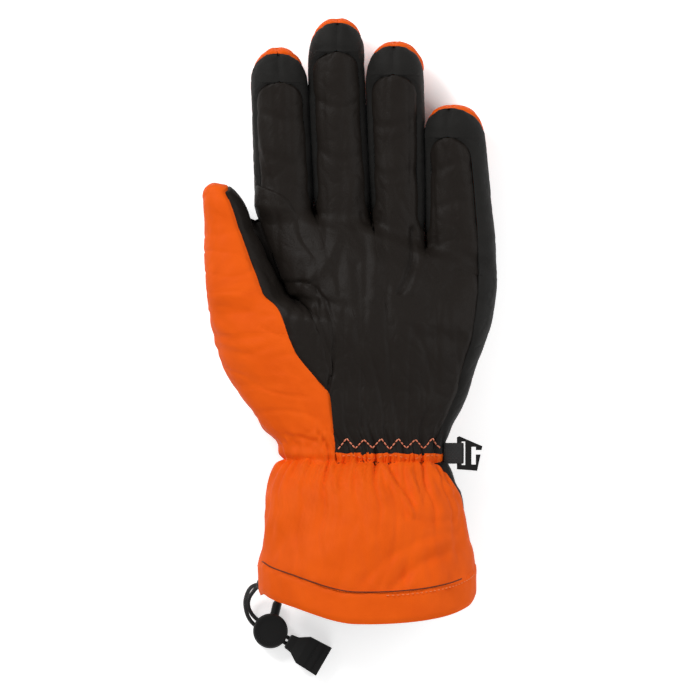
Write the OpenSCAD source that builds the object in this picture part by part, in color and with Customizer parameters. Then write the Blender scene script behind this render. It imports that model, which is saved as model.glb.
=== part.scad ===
// Gauntlet ski glove for the left hand, lying on its back with the palm up.
// X runs from the thumb side to the little-finger side, Y from the cuff to the fingertips, Z up.
// The origin is on the flat rest face under the middle of the palm.

/* [Digits: thumb, index, middle, ring, little] */
// Length of each digit beyond its root line
digit_len = [55.5, 79.5, 97.5, 94, 73]; // [45:0.5:110]
// Width of each digit at its root line
digit_w = [41.5, 29.5, 28.5, 27, 36]; // [18:0.5:50]
// Half height of each digit at its root line
digit_h = [20, 14.5, 14.5, 14, 13.5]; // [8:0.5:24]
// Height of each fingertip's underside above the floor
tip_lift = [14, 5, 5, 6, 6]; // [0:0.5:20]
// Distance from the palm leather's end to the fingertip
tip_wrap = 17.5; // [10:0.5:24]
// Clear space between two neighbouring digits
digit_gap = 1.2; // [0.8:0.1:3]

/* [Hand] */
// Position of the thumb side of the index root
radial_x = -62.5; // [-70:0.5:-55]
// How far the thumb crotch sits in from the index's outer edge
thumb_inset = 16.5; // [10:0.5:20]
// Height of the thumb crotch above the palm centre
thumb_root_y = 18; // [10:0.5:24]
// Height of the index and middle roots above the palm centre
finger_root_y = 60.5; // [55:0.5:70]
// How far each finger crotch drops below that line, from the index's outer edge
crotch_drop = [-1.5, 0, 4, 16, 24.5]; // [-4:0.5:30]
// Half thickness of the padded palm
palm_h = 23.5; // [18:0.5:28]
// Depth that the soft back flattens where it rests
rest_flat = 1.5; // [0.5:0.1:3]

/* [Fabric] */
// Thickness of the outer shell
shell_t = 1.6; // [1:0.1:2.5]
// Thickness of the fleece lining
lining_t = 2.8; // [1.5:0.1:4]
// Space between the shell and the lining
lining_gap = 0.3; // [0.2:0.05:0.6]
// Space between two sewn panels
seam_gap = 0.3; // [0.2:0.05:0.6]
// Thickness of a leather overlay
patch_t = 0.9; // [0.6:0.1:1.5]

/* [Wrist and cuff] */
// Position of the wrist's narrowest line
wrist_y = -65; // [-72:0.5:-60]
// Width of the glove at the wrist
wrist_w = 82; // [70:0.5:95]
// Half height at the wrist
wrist_h = 21.5; // [17:0.5:26]
// Width of the elastic inside the wrist
elastic_w = 2.6; // [2:0.1:3]
// Length from the wrist to the side of the hem
cuff_len = 66; // [50:0.5:90]
// Width of the cuff at the hem
cuff_w = 108; // [90:0.5:130]
// Half height of the cuff at the hem
cuff_h = 32; // [24:0.5:40]
// How much further the hem reaches on the palm side
hem_drop = 15; // [0:0.5:20]
// Width of the hem band
hem_w = 13.5; // [10:0.5:20]

/* [Drawcord] */
// Diameter of the elastic drawcord
cord_d = 2; // [1.5:0.1:2.4]
// Diameter of the cord lock
lock_d = 17.4; // [16.8:0.2:20]
// Height of the cord lock
lock_h = 8.4; // [7.6:0.2:11]
// Distance between the two cord bores
bore_pitch = 5; // [4.6:0.1:5.2]
// Radial clearance of the cord in its bore
bore_gap = 0.35; // [0.2:0.05:0.6]
// Diameter of the plunger
plunger_d = 4.6; // [4:0.1:5.4]
// Travel of the plunger
plunger_travel = 2; // [1:0.1:2]
// Length of the cord pull
pull_len = 21; // [16:0.5:26]
// Width of the cord pull's mouth
pull_w = 16; // [13:0.5:18]
// Height of the cord pull's mouth
pull_h = 7; // [6:0.5:9]
// Travel of the cord pull
pull_travel = 8; // [4:0.5:9]

/* [Hook] */
// Width of the webbing loop
web_w = 10.5; // [8:0.5:14]
// Thickness of the webbing
web_t = 0.9; // [0.6:0.1:1.2]
// Length of the hook plate beyond its bar
hook_len = 11.5; // [9:0.5:14]
// Thickness of the hook plate
hook_t = 2.4; // [2:0.1:3]
// Radius of the hook's bar
bar_r = 1.2; // [1:0.1:1.4]
// Width of each hook arm and rib
hook_rib = 2.1; // [1.8:0.1:2.6]

/* [Hidden] */

THUMB = 0;
INDEX = 1;
MIDDLE = 2;
RING = 3;
LITTLE = 4;

orange = [0.95, 0.38, 0.06];
leather_black = [0.13, 0.12, 0.11];
softshell_black = [0.11, 0.11, 0.115];
fleece_grey = [0.2, 0.2, 0.21];
plastic_black = [0.06, 0.06, 0.06];
steel = [0.6, 0.6, 0.62];

// Roundness of the sections: 2 is an ellipse, more is squarer
palm_round = 2.5;
tip_round = 2.2;
cuff_round = 2.2;
// Length of each digit's rounded tip
dome_len = 16;
// Length over which the palm leather rounds off at a fingertip
leather_round = 10;
// How far the back panel wraps over a fingertip
back_wrap = 2.6;
// Shape of each digit at 70 percent of its length: sideways shift and width ratio
mid_lean = [-10, -2.2, -3, -1.4, -3];
mid_ratio = [0.56, 0.97, 0.99, 1.08, 0.86];
// Sideways shift of each fingertip
tip_lean = [-14.5, -3.5, -2.5, -1.5, -4];
// Half height of each digit at 70 percent of its length, as a ratio of the root
mid_height = [0.66, 0.97, 0.97, 0.98, 0.98];
// Height of the middle of the finger roots
finger_z = 15;
// Angles of the digit seams: the left edge is 0, the palm 90, the right edge 180
palm_seams = [115, 28, 28, 28, 28];
ulnar_seams = [225, 152, 152, 143, 122];
back_half = 40;
// Length of the zone where the palm divides into digits, as a share of the hand
finger_zone = 0.075;
thumb_zone = 0.1;

// Outlines: share of the way along, then share of the change in position
thenar_shape = [[0, 0], [0.1, 0.07], [0.2, 0.25], [0.4, 0.57], [0.6, 0.8], [0.8, 0.93], [1, 1]];
gusset_shape = [[0, 0], [0.4, 0.12], [0.65, 0.17], [0.8, 0.33], [0.92, 0.58], [1, 1]];
ulnar_shape = [[0, 0], [0.1, 0.05], [0.3, 0.42], [0.45, 0.6], [0.65, 0.87], [0.85, 0.99], [1, 1]];
// Column position of the seam between the orange thenar panel and the leather
thenar_seam = [[0, 0.96], [0.25, 0.95], [0.32, 0.77], [0.44, 0.63], [0.66, 0.64]];
palm_edge = 4.66;
back_edge = 5.5;

wrist_x = -8.75;
cuff_x = -6.5;
gusset_share = 0.34;
wrist_left = wrist_x - wrist_w / 2;
wrist_right = wrist_x + wrist_w / 2;
thumb_right = radial_x + thumb_inset;
thumb_left = thumb_right - digit_w[THUMB];
finger_edge = [for (i = [0:4]) radial_x + first(digit_w, i + 1) - digit_w[THUMB]];
ulnar_x = finger_edge[4];
root_line = [for (i = [0:4]) [finger_edge[i], finger_root_y - crotch_drop[i]]];
knuckle_h = max([for (i = [INDEX:LITTLE]) digit_h[i]]) + 1.5;
// Share of the hand's length at which the thumb leaves it
thumb_at = (thumb_root_y - wrist_y) / (root_line[0][1] - wrist_y);
lining_out = shell_t + lining_gap;
lining_in = lining_out + lining_t;
// Extra room round the hand's lining, where the palm folds towards the thumb
lining_ease = 0.9;

function first(list, n) = n <= 0 ? 0 : list[n - 1] + first(list, n - 1);
function total(list) = list * [for (item = list) 1];
function mix(a, b, t) = a + (b - a) * t;
function ease(t) = let (c = min(max(t, 0), 1)) c * c * (3 - 2 * c);
// Half section of a superellipse: 1 in the middle, 0 at both edges
function arch(f, n) = pow(max(0, 1 - pow(abs(f), n)), 1 / n);
function slope(table, i) =
    let (a = max(i - 1, 0), b = min(i + 1, len(table) - 1))
    (table[b][1] - table[a][1]) / (table[b][0] - table[a][0]);
function span_of(table, x, i = 0) =
    (i >= len(table) - 2 || x < table[i + 1][0]) ? i : span_of(table, x, i + 1);
// Smooth curve through a table of positions and values
function curve(table, x) =
    let (
        i = span_of(table, x), a = table[i], b = table[i + 1], d = b[0] - a[0],
        u = min(max((x - a[0]) / d, 0), 1)
    )
    a[1] * (2 * pow(u, 3) - 3 * u * u + 1) + slope(table, i) * d * (pow(u, 3) - 2 * u * u + u)
    + b[1] * (3 * u * u - 2 * pow(u, 3)) + slope(table, i + 1) * d * (pow(u, 3) - u * u);

// ---- Closed walls from a grid of points -------------------------------------------
function cell(a, b, c, d) = [[a, b, c], [a, c, d]];
function sheet_faces(n, m, start, ring) =
    [for (i = [0:n - 2], j = [0:m - (ring ? 1 : 2)])
        let (k = (j + 1) % m)
        each cell(start + i * m + j, start + i * m + k, start + (i + 1) * m + k, start + (i + 1) * m + j)];
function turned(faces) = [for (f = faces) [f[2], f[1], f[0]]];
function signed_volume(points, faces) =
    total([for (f = faces) cross(points[f[0]], points[f[1]]) * points[f[2]]]);

module solid_from(points, faces) {
    polyhedron(points, signed_volume(points, faces) < 0 ? faces : turned(faces));
}

// A sewn panel: an outer and an inner sheet, closed along all four edges.
// spot(row, share, depth) returns a point, with share running from 0 to 1 across the panel.
module panel(rows, columns, depths, spot) {
    n = len(rows);
    m = columns + 1;
    points = [for (depth = depths, row = rows, j = [0:columns]) spot(row, j / columns, depth)];
    inner = n * m;
    edge = concat(
        [for (j = [0:m - 2]) j],
        [for (i = [0:n - 2]) i * m + m - 1],
        [for (j = [m - 1:-1:1]) (n - 1) * m + j],
        [for (i = [n - 1:-1:1]) i * m]
    );
    rim = [for (e = [0:len(edge) - 1])
        let (a = edge[e], b = edge[(e + 1) % len(edge)])
        each cell(b, a, a + inner, b + inner)];
    solid_from(points, concat(sheet_faces(n, m, 0, false), turned(sheet_faces(n, m, inner, false)), rim));
}

// A tube wall: rings of points, open at the start, open or domed at the end.
module tube(rows, sides, depths, domed, spot) {
    n = len(rows);
    points = [for (depth = depths, row = rows, j = [0:sides - 1]) spot(row, j / sides, depth)];
    inner = n * sides;
    last = (n - 1) * sides;
    rim = function (at) [for (j = [0:sides - 1])
        let (a = at + j, b = at + (j + 1) % sides) each cell(a, b, b + inner, a + inner)];
    fan = function (at) [for (j = [1:sides - 2]) [at, at + j, at + j + 1]];
    ends = domed
        ? concat(turned(rim(0)), fan(last), turned(fan(inner + last)))
        : concat(turned(rim(0)), rim(last));
    solid_from(points, concat(
        sheet_faces(n, sides, 0, true), turned(sheet_faces(n, sides, inner, true)), ends));
}

// ---- The hand --------------------------------------------------------------------
// Row v runs from the wrist (0) to the finger roots (1). Column p runs over the palm from
// the thumb side (0) to the little-finger side (5), then back under the hand to 10.
function left_x(v) = mix(wrist_left, thumb_left, curve(thenar_shape, v / thumb_at));
function split_x(v) = v <= thumb_at
    ? mix(wrist_left + gusset_share * wrist_w, thumb_right, curve(gusset_shape, v / thumb_at))
    : mix(thumb_right, radial_x, (v - thumb_at) / (1 - thumb_at));
function right_x(v) = mix(wrist_right, ulnar_x, curve(ulnar_shape, v));
function column_x(v, k) = k == 0 ? left_x(v)
    : mix(split_x(v), right_x(v), (finger_edge[k - 1] - radial_x) / (ulnar_x - radial_x));
function spread(f) = (1 - cos(180 * f)) / 2;
function root_y(x) = lookup(x, root_line);
function hand_h(v) = curve([[0, wrist_h], [0.3, palm_h - 0.5], [0.55, palm_h],
    [0.8, mix(palm_h, knuckle_h, 0.45)], [1, knuckle_h]], v);
function hand_z(v) = mix(hand_h(v) - rest_flat + curve([[0, 4], [0.15, 1.5], [0.3, 0]], v),
    finger_z, ease((v - 0.8) / 0.2));
function fold(x, middle, half, depth, h, round) =
    half <= depth ? 0 : max(0, h - depth) * arch((x - middle) / (half - depth), round);

// Half height of the section over x, with the palm dividing towards its digits
function hand_rise(v, x, depth) =
    let (
        low = v <= thumb_at,
        l = low ? left_x(v) : split_x(v) + digit_gap / 2, r = right_x(v), s = split_x(v), h = hand_h(v),
        whole = fold(x, (l + r) / 2, (r - l) / 2, depth, h, palm_round),
        side = x < s
            ? fold(x, (l + s - digit_gap / 2) / 2, (s - l - digit_gap / 2) / 2, depth, digit_h[THUMB],
                palm_round)
            : fold(x, (s + digit_gap / 2 + r) / 2, (r - s - digit_gap / 2) / 2, depth, h, palm_round),
        at_thumb = low ? mix(whole, side, ease(1 - (thumb_at - v) / thumb_zone)) : whole,
        k = x < column_x(v, 2) ? INDEX : x < column_x(v, 3) ? MIDDLE : x < column_x(v, 4) ? RING : LITTLE,
        a = column_x(v, k), b = column_x(v, k + 1),
        finger = fold(x, (a + b) / 2, (b - a - digit_gap) / 2, depth, digit_h[k], palm_round)
    )
    max(mix(at_thumb, finger, ease(1 - (1 - v) / finger_zone)), shell_t + seam_gap / 2 - depth);

function hand_spot(v, p, depth) =
    let (
        top = p >= 0 && p <= 5,
        c = min(top ? p : p < 0 ? -p : 10 - p, 4.9999),
        k = floor(c),
        x = mix(column_x(v, k), column_x(v, k + 1), spread(c - k)),
        l = v <= thumb_at ? left_x(v) : split_x(v) + digit_gap / 2, r = right_x(v),
        x_in = (l + r) / 2 + (max(x, l) - (l + r) / 2) * (1 - 2 * depth / (r - l)),
        rise = hand_rise(v, x_in, depth),
        y = mix(wrist_y, root_y(x) - seam_gap / 2, v)
    )
    [x_in, y, top ? hand_z(v) + rise : max(hand_z(v) - rise, depth)];

function thenar_at(v) = curve(thenar_seam, v);
hand_rows = [0.03, 0.12, 0.21, 0.3, 0.39, 0.48, 0.55, 0.6, thumb_at, 0.7, 0.78, 0.86, 0.925, 0.965, 1];
low_rows = [for (v = hand_rows) if (v <= thumb_at) v];
high_rows = [for (v = hand_rows) if (v >= thumb_at) v];
gap_share = 0.015;

// Panel of the hand between two column positions
module hand_panel(rows, columns, depths, from, to) {
    panel(rows, columns, depths, function (v, f, depth) hand_spot(v, mix(from(v), to(v), f), depth));
}

module hand_palm_panel() color(leather_black)
    hand_panel(hand_rows, 22, [0, shell_t],
        function (v) 1 + gap_share, function (v) palm_edge - gap_share);

module hand_back_panel() color(orange)
    hand_panel(hand_rows, 18, [0, shell_t],
        function (v) back_edge + gap_share,
        function (v) mix(8.98, 8.56, ease((v - thumb_at) / 0.06)));

module hand_thenar_panel() color(orange)
    hand_panel(low_rows, 14, [0, shell_t],
        function (v) -1 + gap_share, function (v) thenar_at(v) - gap_share);

module thumb_gusset() color(leather_black)
    hand_panel([for (v = low_rows) if (v >= 0.3) v], 8, [0, shell_t],
        function (v) thenar_at(v) + gap_share, function (v) 1 - gap_share);

module hand_radial_sidewall() color(leather_black)
    hand_panel(high_rows, 5, [0, shell_t],
        function (v) mix(9, 8.6, ease((v - thumb_at) / 0.06)), function (v) 9);

module hand_ulnar_sidewall() color(softshell_black)
    hand_panel(hand_rows, 8, [0, shell_t],
        function (v) palm_edge + gap_share, function (v) back_edge - gap_share);

module index_base_patch() color(leather_black)
    hand_panel([for (v = [0.7, 0.78, 0.86, 0.925, 0.96]) v], 7, [-patch_t - 0.05, -0.05],
        function (v) 1.1, function (v) 1.52);

// The fleece lining: one sleeve at the wrist and thumb, narrowing to the four fingers
// The lining is one tube; above the palm it draws in beside the thumb
module hand_lining() color(fleece_grey) {
    narrow_from = 0.3;
    narrow_to = thumb_at - thumb_zone;
    first_column = 1.2;
    tube([0.03, 0.12, 0.21, narrow_from, 0.39, 0.48, narrow_to, 0.6, thumb_at, 0.7, 0.78, 0.86,
            1 - finger_zone],
        40, [lining_out + lining_ease, lining_in + lining_ease], false,
        function (v, f, depth)
            let (side = first_column * min(1, max(0, (v - narrow_from) / (narrow_to - narrow_from))))
            hand_spot(v, mix(side, 10 - side, f), depth));
}

// ---- The digits ------------------------------------------------------------------
function root_x(i) = i == THUMB ? thumb_right - digit_w[THUMB] / 2 : finger_edge[i - 1] + digit_w[i] / 2;
function base_y(i) = i == THUMB ? thumb_root_y : root_y(root_x(i));
function base_z(i) = i == THUMB ? hand_z(thumb_at) : finger_z;
function digit_x(i, t) = root_x(i) + curve([[0, 0], [0.7, mid_lean[i]], [1, tip_lean[i]]], t);
function digit_half(i, t) = (digit_w[i] / 2)
    * curve([[0, 1], [0.7, mid_ratio[i]], [1, mid_ratio[i] * 0.96]], t) - digit_gap / 2;
function digit_rise(i, t) = digit_h[i] * curve([[0, 1], [0.7, mid_height[i]], [1, mid_height[i] * 0.95]], t);
function digit_z(i, t) = mix(base_z(i), digit_rise(i, 1) + tip_lift[i], t * t);

// Point of a digit: s is the distance from its root, a is the angle round it
function digit_spot(i, s, a, depth) =
    let (
        body = digit_len[i] - dome_len,
        rise = max(0, (s - body) / dome_len),
        near = min(s, body),
        t = s / digit_len[i],
        taper = arch(rise, tip_round),
        round = mix(palm_round, tip_round, min(1, t * 1.5)),
        half = max(0.05, (digit_half(i, t) - depth) * taper),
        h = max(0.05, (digit_rise(i, t) - depth) * taper),
        x = digit_x(i, t) - half * cos(a),
        slant = i == THUMB ? 0 : (root_y(root_x(i) - half * cos(a)) - base_y(i)) * pow(1 - near / body, 2)
    )
    [x, base_y(i) + seam_gap / 2 + near + rise * (dome_len - depth) + slant,
        digit_z(i, t) + h * sign(sin(a)) * arch(cos(a), round)];

function leather_end(i) = digit_len[i] - tip_wrap;
function wrap_at(i) = digit_len[i] - back_wrap;
function digit_rows(i, end) =
    let (e = leather_end(i), straight = e - leather_round)
    [for (s = [0, straight * 0.2, straight * 0.45, straight * 0.72, straight, e - 5, e - 2, e - 0.5, e,
        digit_len[i] - 13, digit_len[i] - 9, digit_len[i] - 6, end]) if (s <= end) s];
// Share of the palm panel's width left at distance s, as it rounds off towards the tip
function leather_share(i, s) =
    let (u = max(0, (s - leather_end(i) + leather_round) / leather_round)) sqrt(max(0, 1 - u * u));
// Angle that keeps panels a seam gap apart
function gap_angle(i, s) = 28 * seam_gap / max(2, digit_spot(i, s, 180, 0)[0] - digit_x(i, s / digit_len[i]));

module digit_panel(i, rows, columns, from, to) {
    panel(rows, columns, [0, shell_t], function (s, f, depth)
        digit_spot(i, s, mix(from(s) + gap_angle(i, s), to(s) - gap_angle(i, s), f), depth));
}

module digit_palm(i) {
    middle = (palm_seams[i] + ulnar_seams[i]) / 2;
    half = (ulnar_seams[i] - palm_seams[i]) / 2;
    digit_panel(i, digit_rows(i, leather_end(i) - 0.3), 8,
        function (s) middle - half * leather_share(i, s), function (s) middle + half * leather_share(i, s));
}

module digit_side(i, ulnar) {
    middle = (palm_seams[i] + ulnar_seams[i]) / 2;
    half = (ulnar_seams[i] - palm_seams[i]) / 2;
    if (ulnar)
        digit_panel(i, digit_rows(i, wrap_at(i)), 7,
            function (s) middle + half * leather_share(i, s), function (s) 270 - back_half);
    else
        digit_panel(i, digit_rows(i, wrap_at(i)), 7,
            function (s) back_half - 90, function (s) middle - half * leather_share(i, s));
}

// A panel that runs to the fingertip and closes over it
module digit_cap(i, from, to, columns = 6) {
    digit_panel(i, digit_rows(i, wrap_at(i) + 0.6), columns, function (s) from, function (s) to);
    tube([for (s = [wrap_at(i) + seam_gap, digit_len[i] - 1.2, digit_len[i] - 0.3, digit_len[i]]) s], 20,
        [0, shell_t], true, function (s, f, depth) digit_spot(i, s, f * 360, depth));
}

module digit_lining(i) color(fleece_grey)
    tube([for (s = concat(digit_rows(i, digit_len[i] - 13), [digit_len[i] - 9, digit_len[i] - 5,
        digit_len[i] - 2, digit_len[i] - 0.3])) s], 16, [lining_out, lining_in], true,
        function (s, f, depth) digit_spot(i, s, f * 360, depth));

module index_palm_panel() color(leather_black) digit_palm(INDEX);
module index_back_panel() color(orange) digit_cap(INDEX, 270 - back_half, 270 + back_half);
module index_radial_sidewall() color(softshell_black) digit_side(INDEX, false);
module index_ulnar_sidewall() color(softshell_black) digit_side(INDEX, true);
module index_lining() digit_lining(INDEX);

module middle_palm_panel() color(leather_black) digit_palm(MIDDLE);
module middle_back_panel() color(orange) digit_cap(MIDDLE, 270 - back_half, 270 + back_half);
module middle_radial_sidewall() color(softshell_black) digit_side(MIDDLE, false);
module middle_ulnar_sidewall() color(softshell_black) digit_side(MIDDLE, true);
module middle_lining() digit_lining(MIDDLE);

module ring_palm_panel() color(leather_black) digit_palm(RING);
module ring_back_panel() color(orange) digit_cap(RING, 270 - back_half, 270 + back_half);
module ring_radial_sidewall() color(softshell_black) digit_side(RING, false);
module ring_ulnar_sidewall() color(softshell_black) digit_side(RING, true);
module ring_lining() digit_lining(RING);

module little_palm_panel() color(leather_black) digit_palm(LITTLE);
module little_back_panel() color(orange) digit_cap(LITTLE, 270 - back_half, 270 + back_half);
module little_radial_sidewall() color(softshell_black) digit_side(LITTLE, false);
module little_ulnar_sidewall() color(softshell_black) digit_side(LITTLE, true);
module little_lining() digit_lining(LITTLE);

// The thumb is turned, so its orange panel faces out and its leather faces the palm
thumb_wedge = 300;
module thumb_outer_panel() color(orange) digit_cap(THUMB, thumb_wedge - 360, palm_seams[THUMB], 16);
module thumb_inner_panel() color(leather_black)
    digit_panel(THUMB, digit_rows(THUMB, wrap_at(THUMB)), 9,
        function (s) palm_seams[THUMB], function (s) ulnar_seams[THUMB]);
module thumb_back_wedge() color(softshell_black)
    digit_panel(THUMB, digit_rows(THUMB, wrap_at(THUMB)), 6,
        function (s) ulnar_seams[THUMB], function (s) thumb_wedge);
module thumb_lining() digit_lining(THUMB);

// ---- Wrist and cuff --------------------------------------------------------------
// Row w runs from the wrist (0) to the hem (1); the angle starts at the thumb side, 90 is
// the palm side.
hem_y = wrist_y - cuff_len;
cuff_lift = 1;
function cuff_half(w) = curve([[0, wrist_w / 2], [0.3, mix(wrist_w, cuff_w, 0.55) / 2], [1, cuff_w / 2]], w);
function cuff_rise(w) = curve([[0, wrist_h], [0.3, mix(wrist_h, cuff_h, 0.6)], [1, cuff_h]], w);
function cuff_z(w) = curve([[0, hand_z(0)], [0.3, cuff_rise(0.3) + 1.6], [1, cuff_h + cuff_lift]], w);
function hem_line(a) = hem_y - hem_drop * (sin(a) > 0 ? pow(sin(a), 0.8) : -0.25 * sin(a));
function cuff_spot(w, a, depth, end_y) =
    let (half = cuff_half(w) - depth, h = cuff_rise(w) - depth)
    [mix(wrist_x, cuff_x, w) - half * cos(a), end_y,
        max(cuff_z(w) + h * sign(sin(a)) * arch(cos(a), cuff_round), depth)];

cuff_rows = [0, 0.1, 0.2, 0.32, 0.46, 0.64, 0.82, 1];
cuff_start = wrist_y - seam_gap;
module cuff_panel(columns, from, to, depths, rows, start, over) {
    panel(rows, columns, depths, function (w, f, depth)
        let (a = mix(from(w), to(w), f))
        cuff_spot(w, a, depth, mix(start, hem_line(a) + over, w)));
}

// Seam between the orange and black panels of the cuff
function cuff_seam(w) = min(190, 153 + 62 * w);
cuff_thumb_seam = -14;
module cuff_palm_panel() color(orange)
    cuff_panel(20, function (w) cuff_thumb_seam + 0.3, function (w) cuff_seam(w) - 0.3,
        [0, shell_t], cuff_rows, cuff_start, hem_w + seam_gap);

module cuff_back_panel() color(softshell_black)
    cuff_panel(18, function (w) cuff_seam(w) + 0.3, function (w) 360 + cuff_thumb_seam - 0.3,
        [0, shell_t], cuff_rows, cuff_start, hem_w + seam_gap);

module hem_band() color(orange)
    tube([0, 0.5, 1], 48, [-0.4, lining_out + 0.6], false, function (u, f, depth)
        cuff_spot(1, f * 360, depth, hem_line(f * 360) + hem_w * (1 - u)));

module cuff_lining() color(fleece_grey)
    tube(cuff_rows, 28, [lining_out, lining_in], false, function (w, f, depth)
        cuff_spot(w, f * 360, depth, mix(cuff_start, hem_line(f * 360) + hem_w + seam_gap, w)));

// Gathering elastic that joins the hand to the cuff, sewn inside the wrist
module wrist_elastic() color(softshell_black)
    tube([0, 0.25, 0.5, 0.75, 1], 40, [0.3, shell_t], false, function (u, f, depth)
        hand_spot(0, f * 10, depth) + [0, mix(elastic_w, 0, u), 0]);

// ---- Webbing loop and hook -------------------------------------------------------
// The bar of the hook runs along Y; the loop leaves the little-finger side of the wrist.
loop_reach = 7.25;
loop_rise = 3;
loop_end = 14;
bar_x = wrist_right + loop_reach;
bar_y = wrist_y + 3.5;
bar_z = hand_z(0) + loop_rise;
loop_in = bar_r + 0.25;
loop_out = loop_in + web_t;
loop_root = wrist_right + 2.3;

module webbing_loop() color(softshell_black) {
    translate([bar_x, bar_y + web_w / 2, bar_z]) rotate([90, 0, 0]) linear_extrude(web_w) {
        difference() {
            union() {
                circle(loop_out, $fn = 48);
                translate([loop_root - bar_x, -loop_out]) square([bar_x - loop_root, 2 * loop_out]);
            }
            circle(loop_in, $fn = 48);
            translate([loop_root - bar_x + 1, -loop_in]) square([bar_x - loop_root - 1, 2 * loop_in]);
        }
    }
    // Sewn end that lies against the wrist
    translate([loop_root - web_t, bar_y - web_w / 2, bar_z - loop_end / 2])
        cube([web_t + 0.4, web_w, loop_end]);
}

bar_length = web_w + 1.2;
hook_width = bar_length + 2 * hook_rib;
module hook_clip() color(plastic_black) translate([bar_x, bar_y, bar_z]) {
    difference() {
        translate([-bar_r, 0, -hook_t / 2]) linear_extrude(hook_t) polygon([
            [0, hook_width / 2], [bar_r, hook_width / 2 + 0.6], [hook_len + bar_r, hook_width / 2 - 4.4],
            [hook_len - 1.4, -hook_width / 2 - 0.8], [0, -hook_width / 2]
        ]);
        // Window that the loop turns in
        translate([-bar_r - 1, -bar_length / 2, -hook_t])
            cube([loop_out + 1.6 + bar_r, bar_length, hook_t * 2]);
        // Slot for the partner glove's loop, with its way in at the outer end
        translate([loop_out + 1.6 + hook_rib, -5.6, -hook_t]) cube([2.2, 8.8, hook_t * 2]);
        translate([loop_out + 1.6 + hook_rib, -0.6, -hook_t]) cube([hook_len, 2.2, hook_t * 2]);
    }
    rotate([90, 0, 0]) cylinder(h = bar_length + 2, r = bar_r, center = true, $fn = 48);
}

// ---- Drawcord, cord lock and pull -------------------------------------------------
lock_x = -54.8;
lock_y = -150.6;
cord_angle = -30;
plunger_angle = 76;
cord_z = lock_h / 2;
cord_pitch = bore_pitch - 2;
spring_wire = 0.35;
lock_wall = 0.8;
lock_chamfer = 0.8;
slot_h = cord_d + 2 * bore_gap;
cord_dir = [cos(cord_angle), sin(cord_angle), 0];
cord_side = [-sin(cord_angle), cos(cord_angle), 0];
lock_centre = [lock_x, lock_y, cord_z];

module at_lock() translate(lock_centre) children();
module along_plunger() rotate([0, 0, plunger_angle - 90]) rotate([-90, 0, 0]) children();

// Slot for both strands, one beside the other
module cord_slot(length) rotate([0, 0, cord_angle]) {
    for (side = [-1, 1]) translate([-length / 2, side * cord_pitch / 2, 0])
        rotate([0, 90, 0]) cylinder(h = length, d = slot_h, $fn = 40);
    translate([-length / 2, -cord_pitch / 2, -slot_h / 2]) cube([length, cord_pitch, slot_h]);
}

plunger_gap = 0.06;
skew = abs(plunger_angle - 90 - cord_angle);
cross_half = (cord_pitch + slot_h) / 2 / cos(skew) + plunger_d / 2 * tan(skew) + 0.1;
plunger_low = -cross_half - 1.2;
plunger_out = lock_d / 2 + 6.5;
spring_low = lock_wall - lock_d / 2;

module lock_body() color(plastic_black) at_lock() difference() {
    rotate_extrude($fn = 96) polygon([
        [0, -lock_h / 2], [lock_d / 2 - lock_chamfer, -lock_h / 2], [lock_d / 2, lock_chamfer - lock_h / 2],
        [lock_d / 2, lock_h / 2 - lock_chamfer], [lock_d / 2 - lock_chamfer, lock_h / 2], [0, lock_h / 2]
    ]);
    cord_slot(lock_d + 2);
    along_plunger() translate([0, 0, spring_low])
        cylinder(h = lock_d, d = plunger_d + 2 * plunger_gap, $fn = 48);
    // Shallow dish in each face
    for (side = [0, 180]) rotate([side, 0, 0]) translate([0, 0, lock_h / 2 - 0.4])
        cylinder(h = 1, d = lock_d - 5, $fn = 64);
}

module lock_plunger() color(plastic_black) at_lock() along_plunger() difference() {
    union() {
        translate([0, 0, plunger_low]) cylinder(h = plunger_out - 1 - plunger_low, d = plunger_d, $fn = 48);
        translate([0, 0, plunger_out - 1]) cylinder(h = 1, d1 = plunger_d, d2 = plunger_d - 1.2, $fn = 48);
    }
    // The strands stay clear of the plunger from released to pressed
    translate([-plunger_d, -slot_h / 2, -cross_half])
        cube([plunger_d * 2, slot_h, 2 * cross_half + plunger_travel]);
}

// Round rod along a route of points, with its sections square to a fixed direction
module rod(route, d, sides, up) {
    n = len(route);
    points = [for (i = [0:n - 1], j = [0:sides - 1])
        let (
            step = route[min(i + 1, n - 1)] - route[max(i - 1, 0)], t = step / norm(step),
            u = cross(up, t), side = u / norm(u), a = 360 * j / sides
        )
        route[i] + d / 2 * (cos(a) * side + sin(a) * cross(t, side))];
    end = (n - 1) * sides;
    solid_from(points, concat(
        sheet_faces(n, sides, 0, true),
        [for (j = [1:sides - 2]) [0, j + 1, j]],
        [for (j = [1:sides - 2]) [end, end + j, end + j + 1]]));
}

module lock_spring() color(steel) at_lock() along_plunger() {
    turns = 2.5;
    r = (plunger_d - spring_wire) / 2 - 0.3;
    low = spring_low + spring_wire / 2 + 0.1;
    high = plunger_low - spring_wire / 2 - 0.1;
    rod([for (i = [0:50]) let (a = 360 * turns * i / 50) [r * cos(a), r * sin(a), mix(low, high, i / 50)]],
        spring_wire, 6, [0, 0, 1]);
}

// Points eased between the corners of a hand-laid route
function bend(a, b, c, t) = mix(mix(a, b, t), mix(b, c, t), t);
function eased(route, steps) = [
    for (i = [1:len(route) - 2], k = [0:steps - 1])
        bend(i == 1 ? route[0] : (route[i - 1] + route[i]) / 2, route[i],
            i == len(route) - 2 ? route[i + 1] : (route[i] + route[i + 1]) / 2, k / steps),
    route[len(route) - 1]
];

// Each eyelet: angle round the hem, then the direction it faces
eyelets = [[-15, [-0.94, 0, -0.34]], [-27, [-0.76, 0, -0.65]]];
eyelet_rise = 5;
eyelet_t = 1.6;
function eyelet_spot(k) = cuff_spot(1, eyelets[k][0], -0.75, hem_line(eyelets[k][0]) + eyelet_rise);
cord_sides = 8;
cord_end = 6.5;

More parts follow.
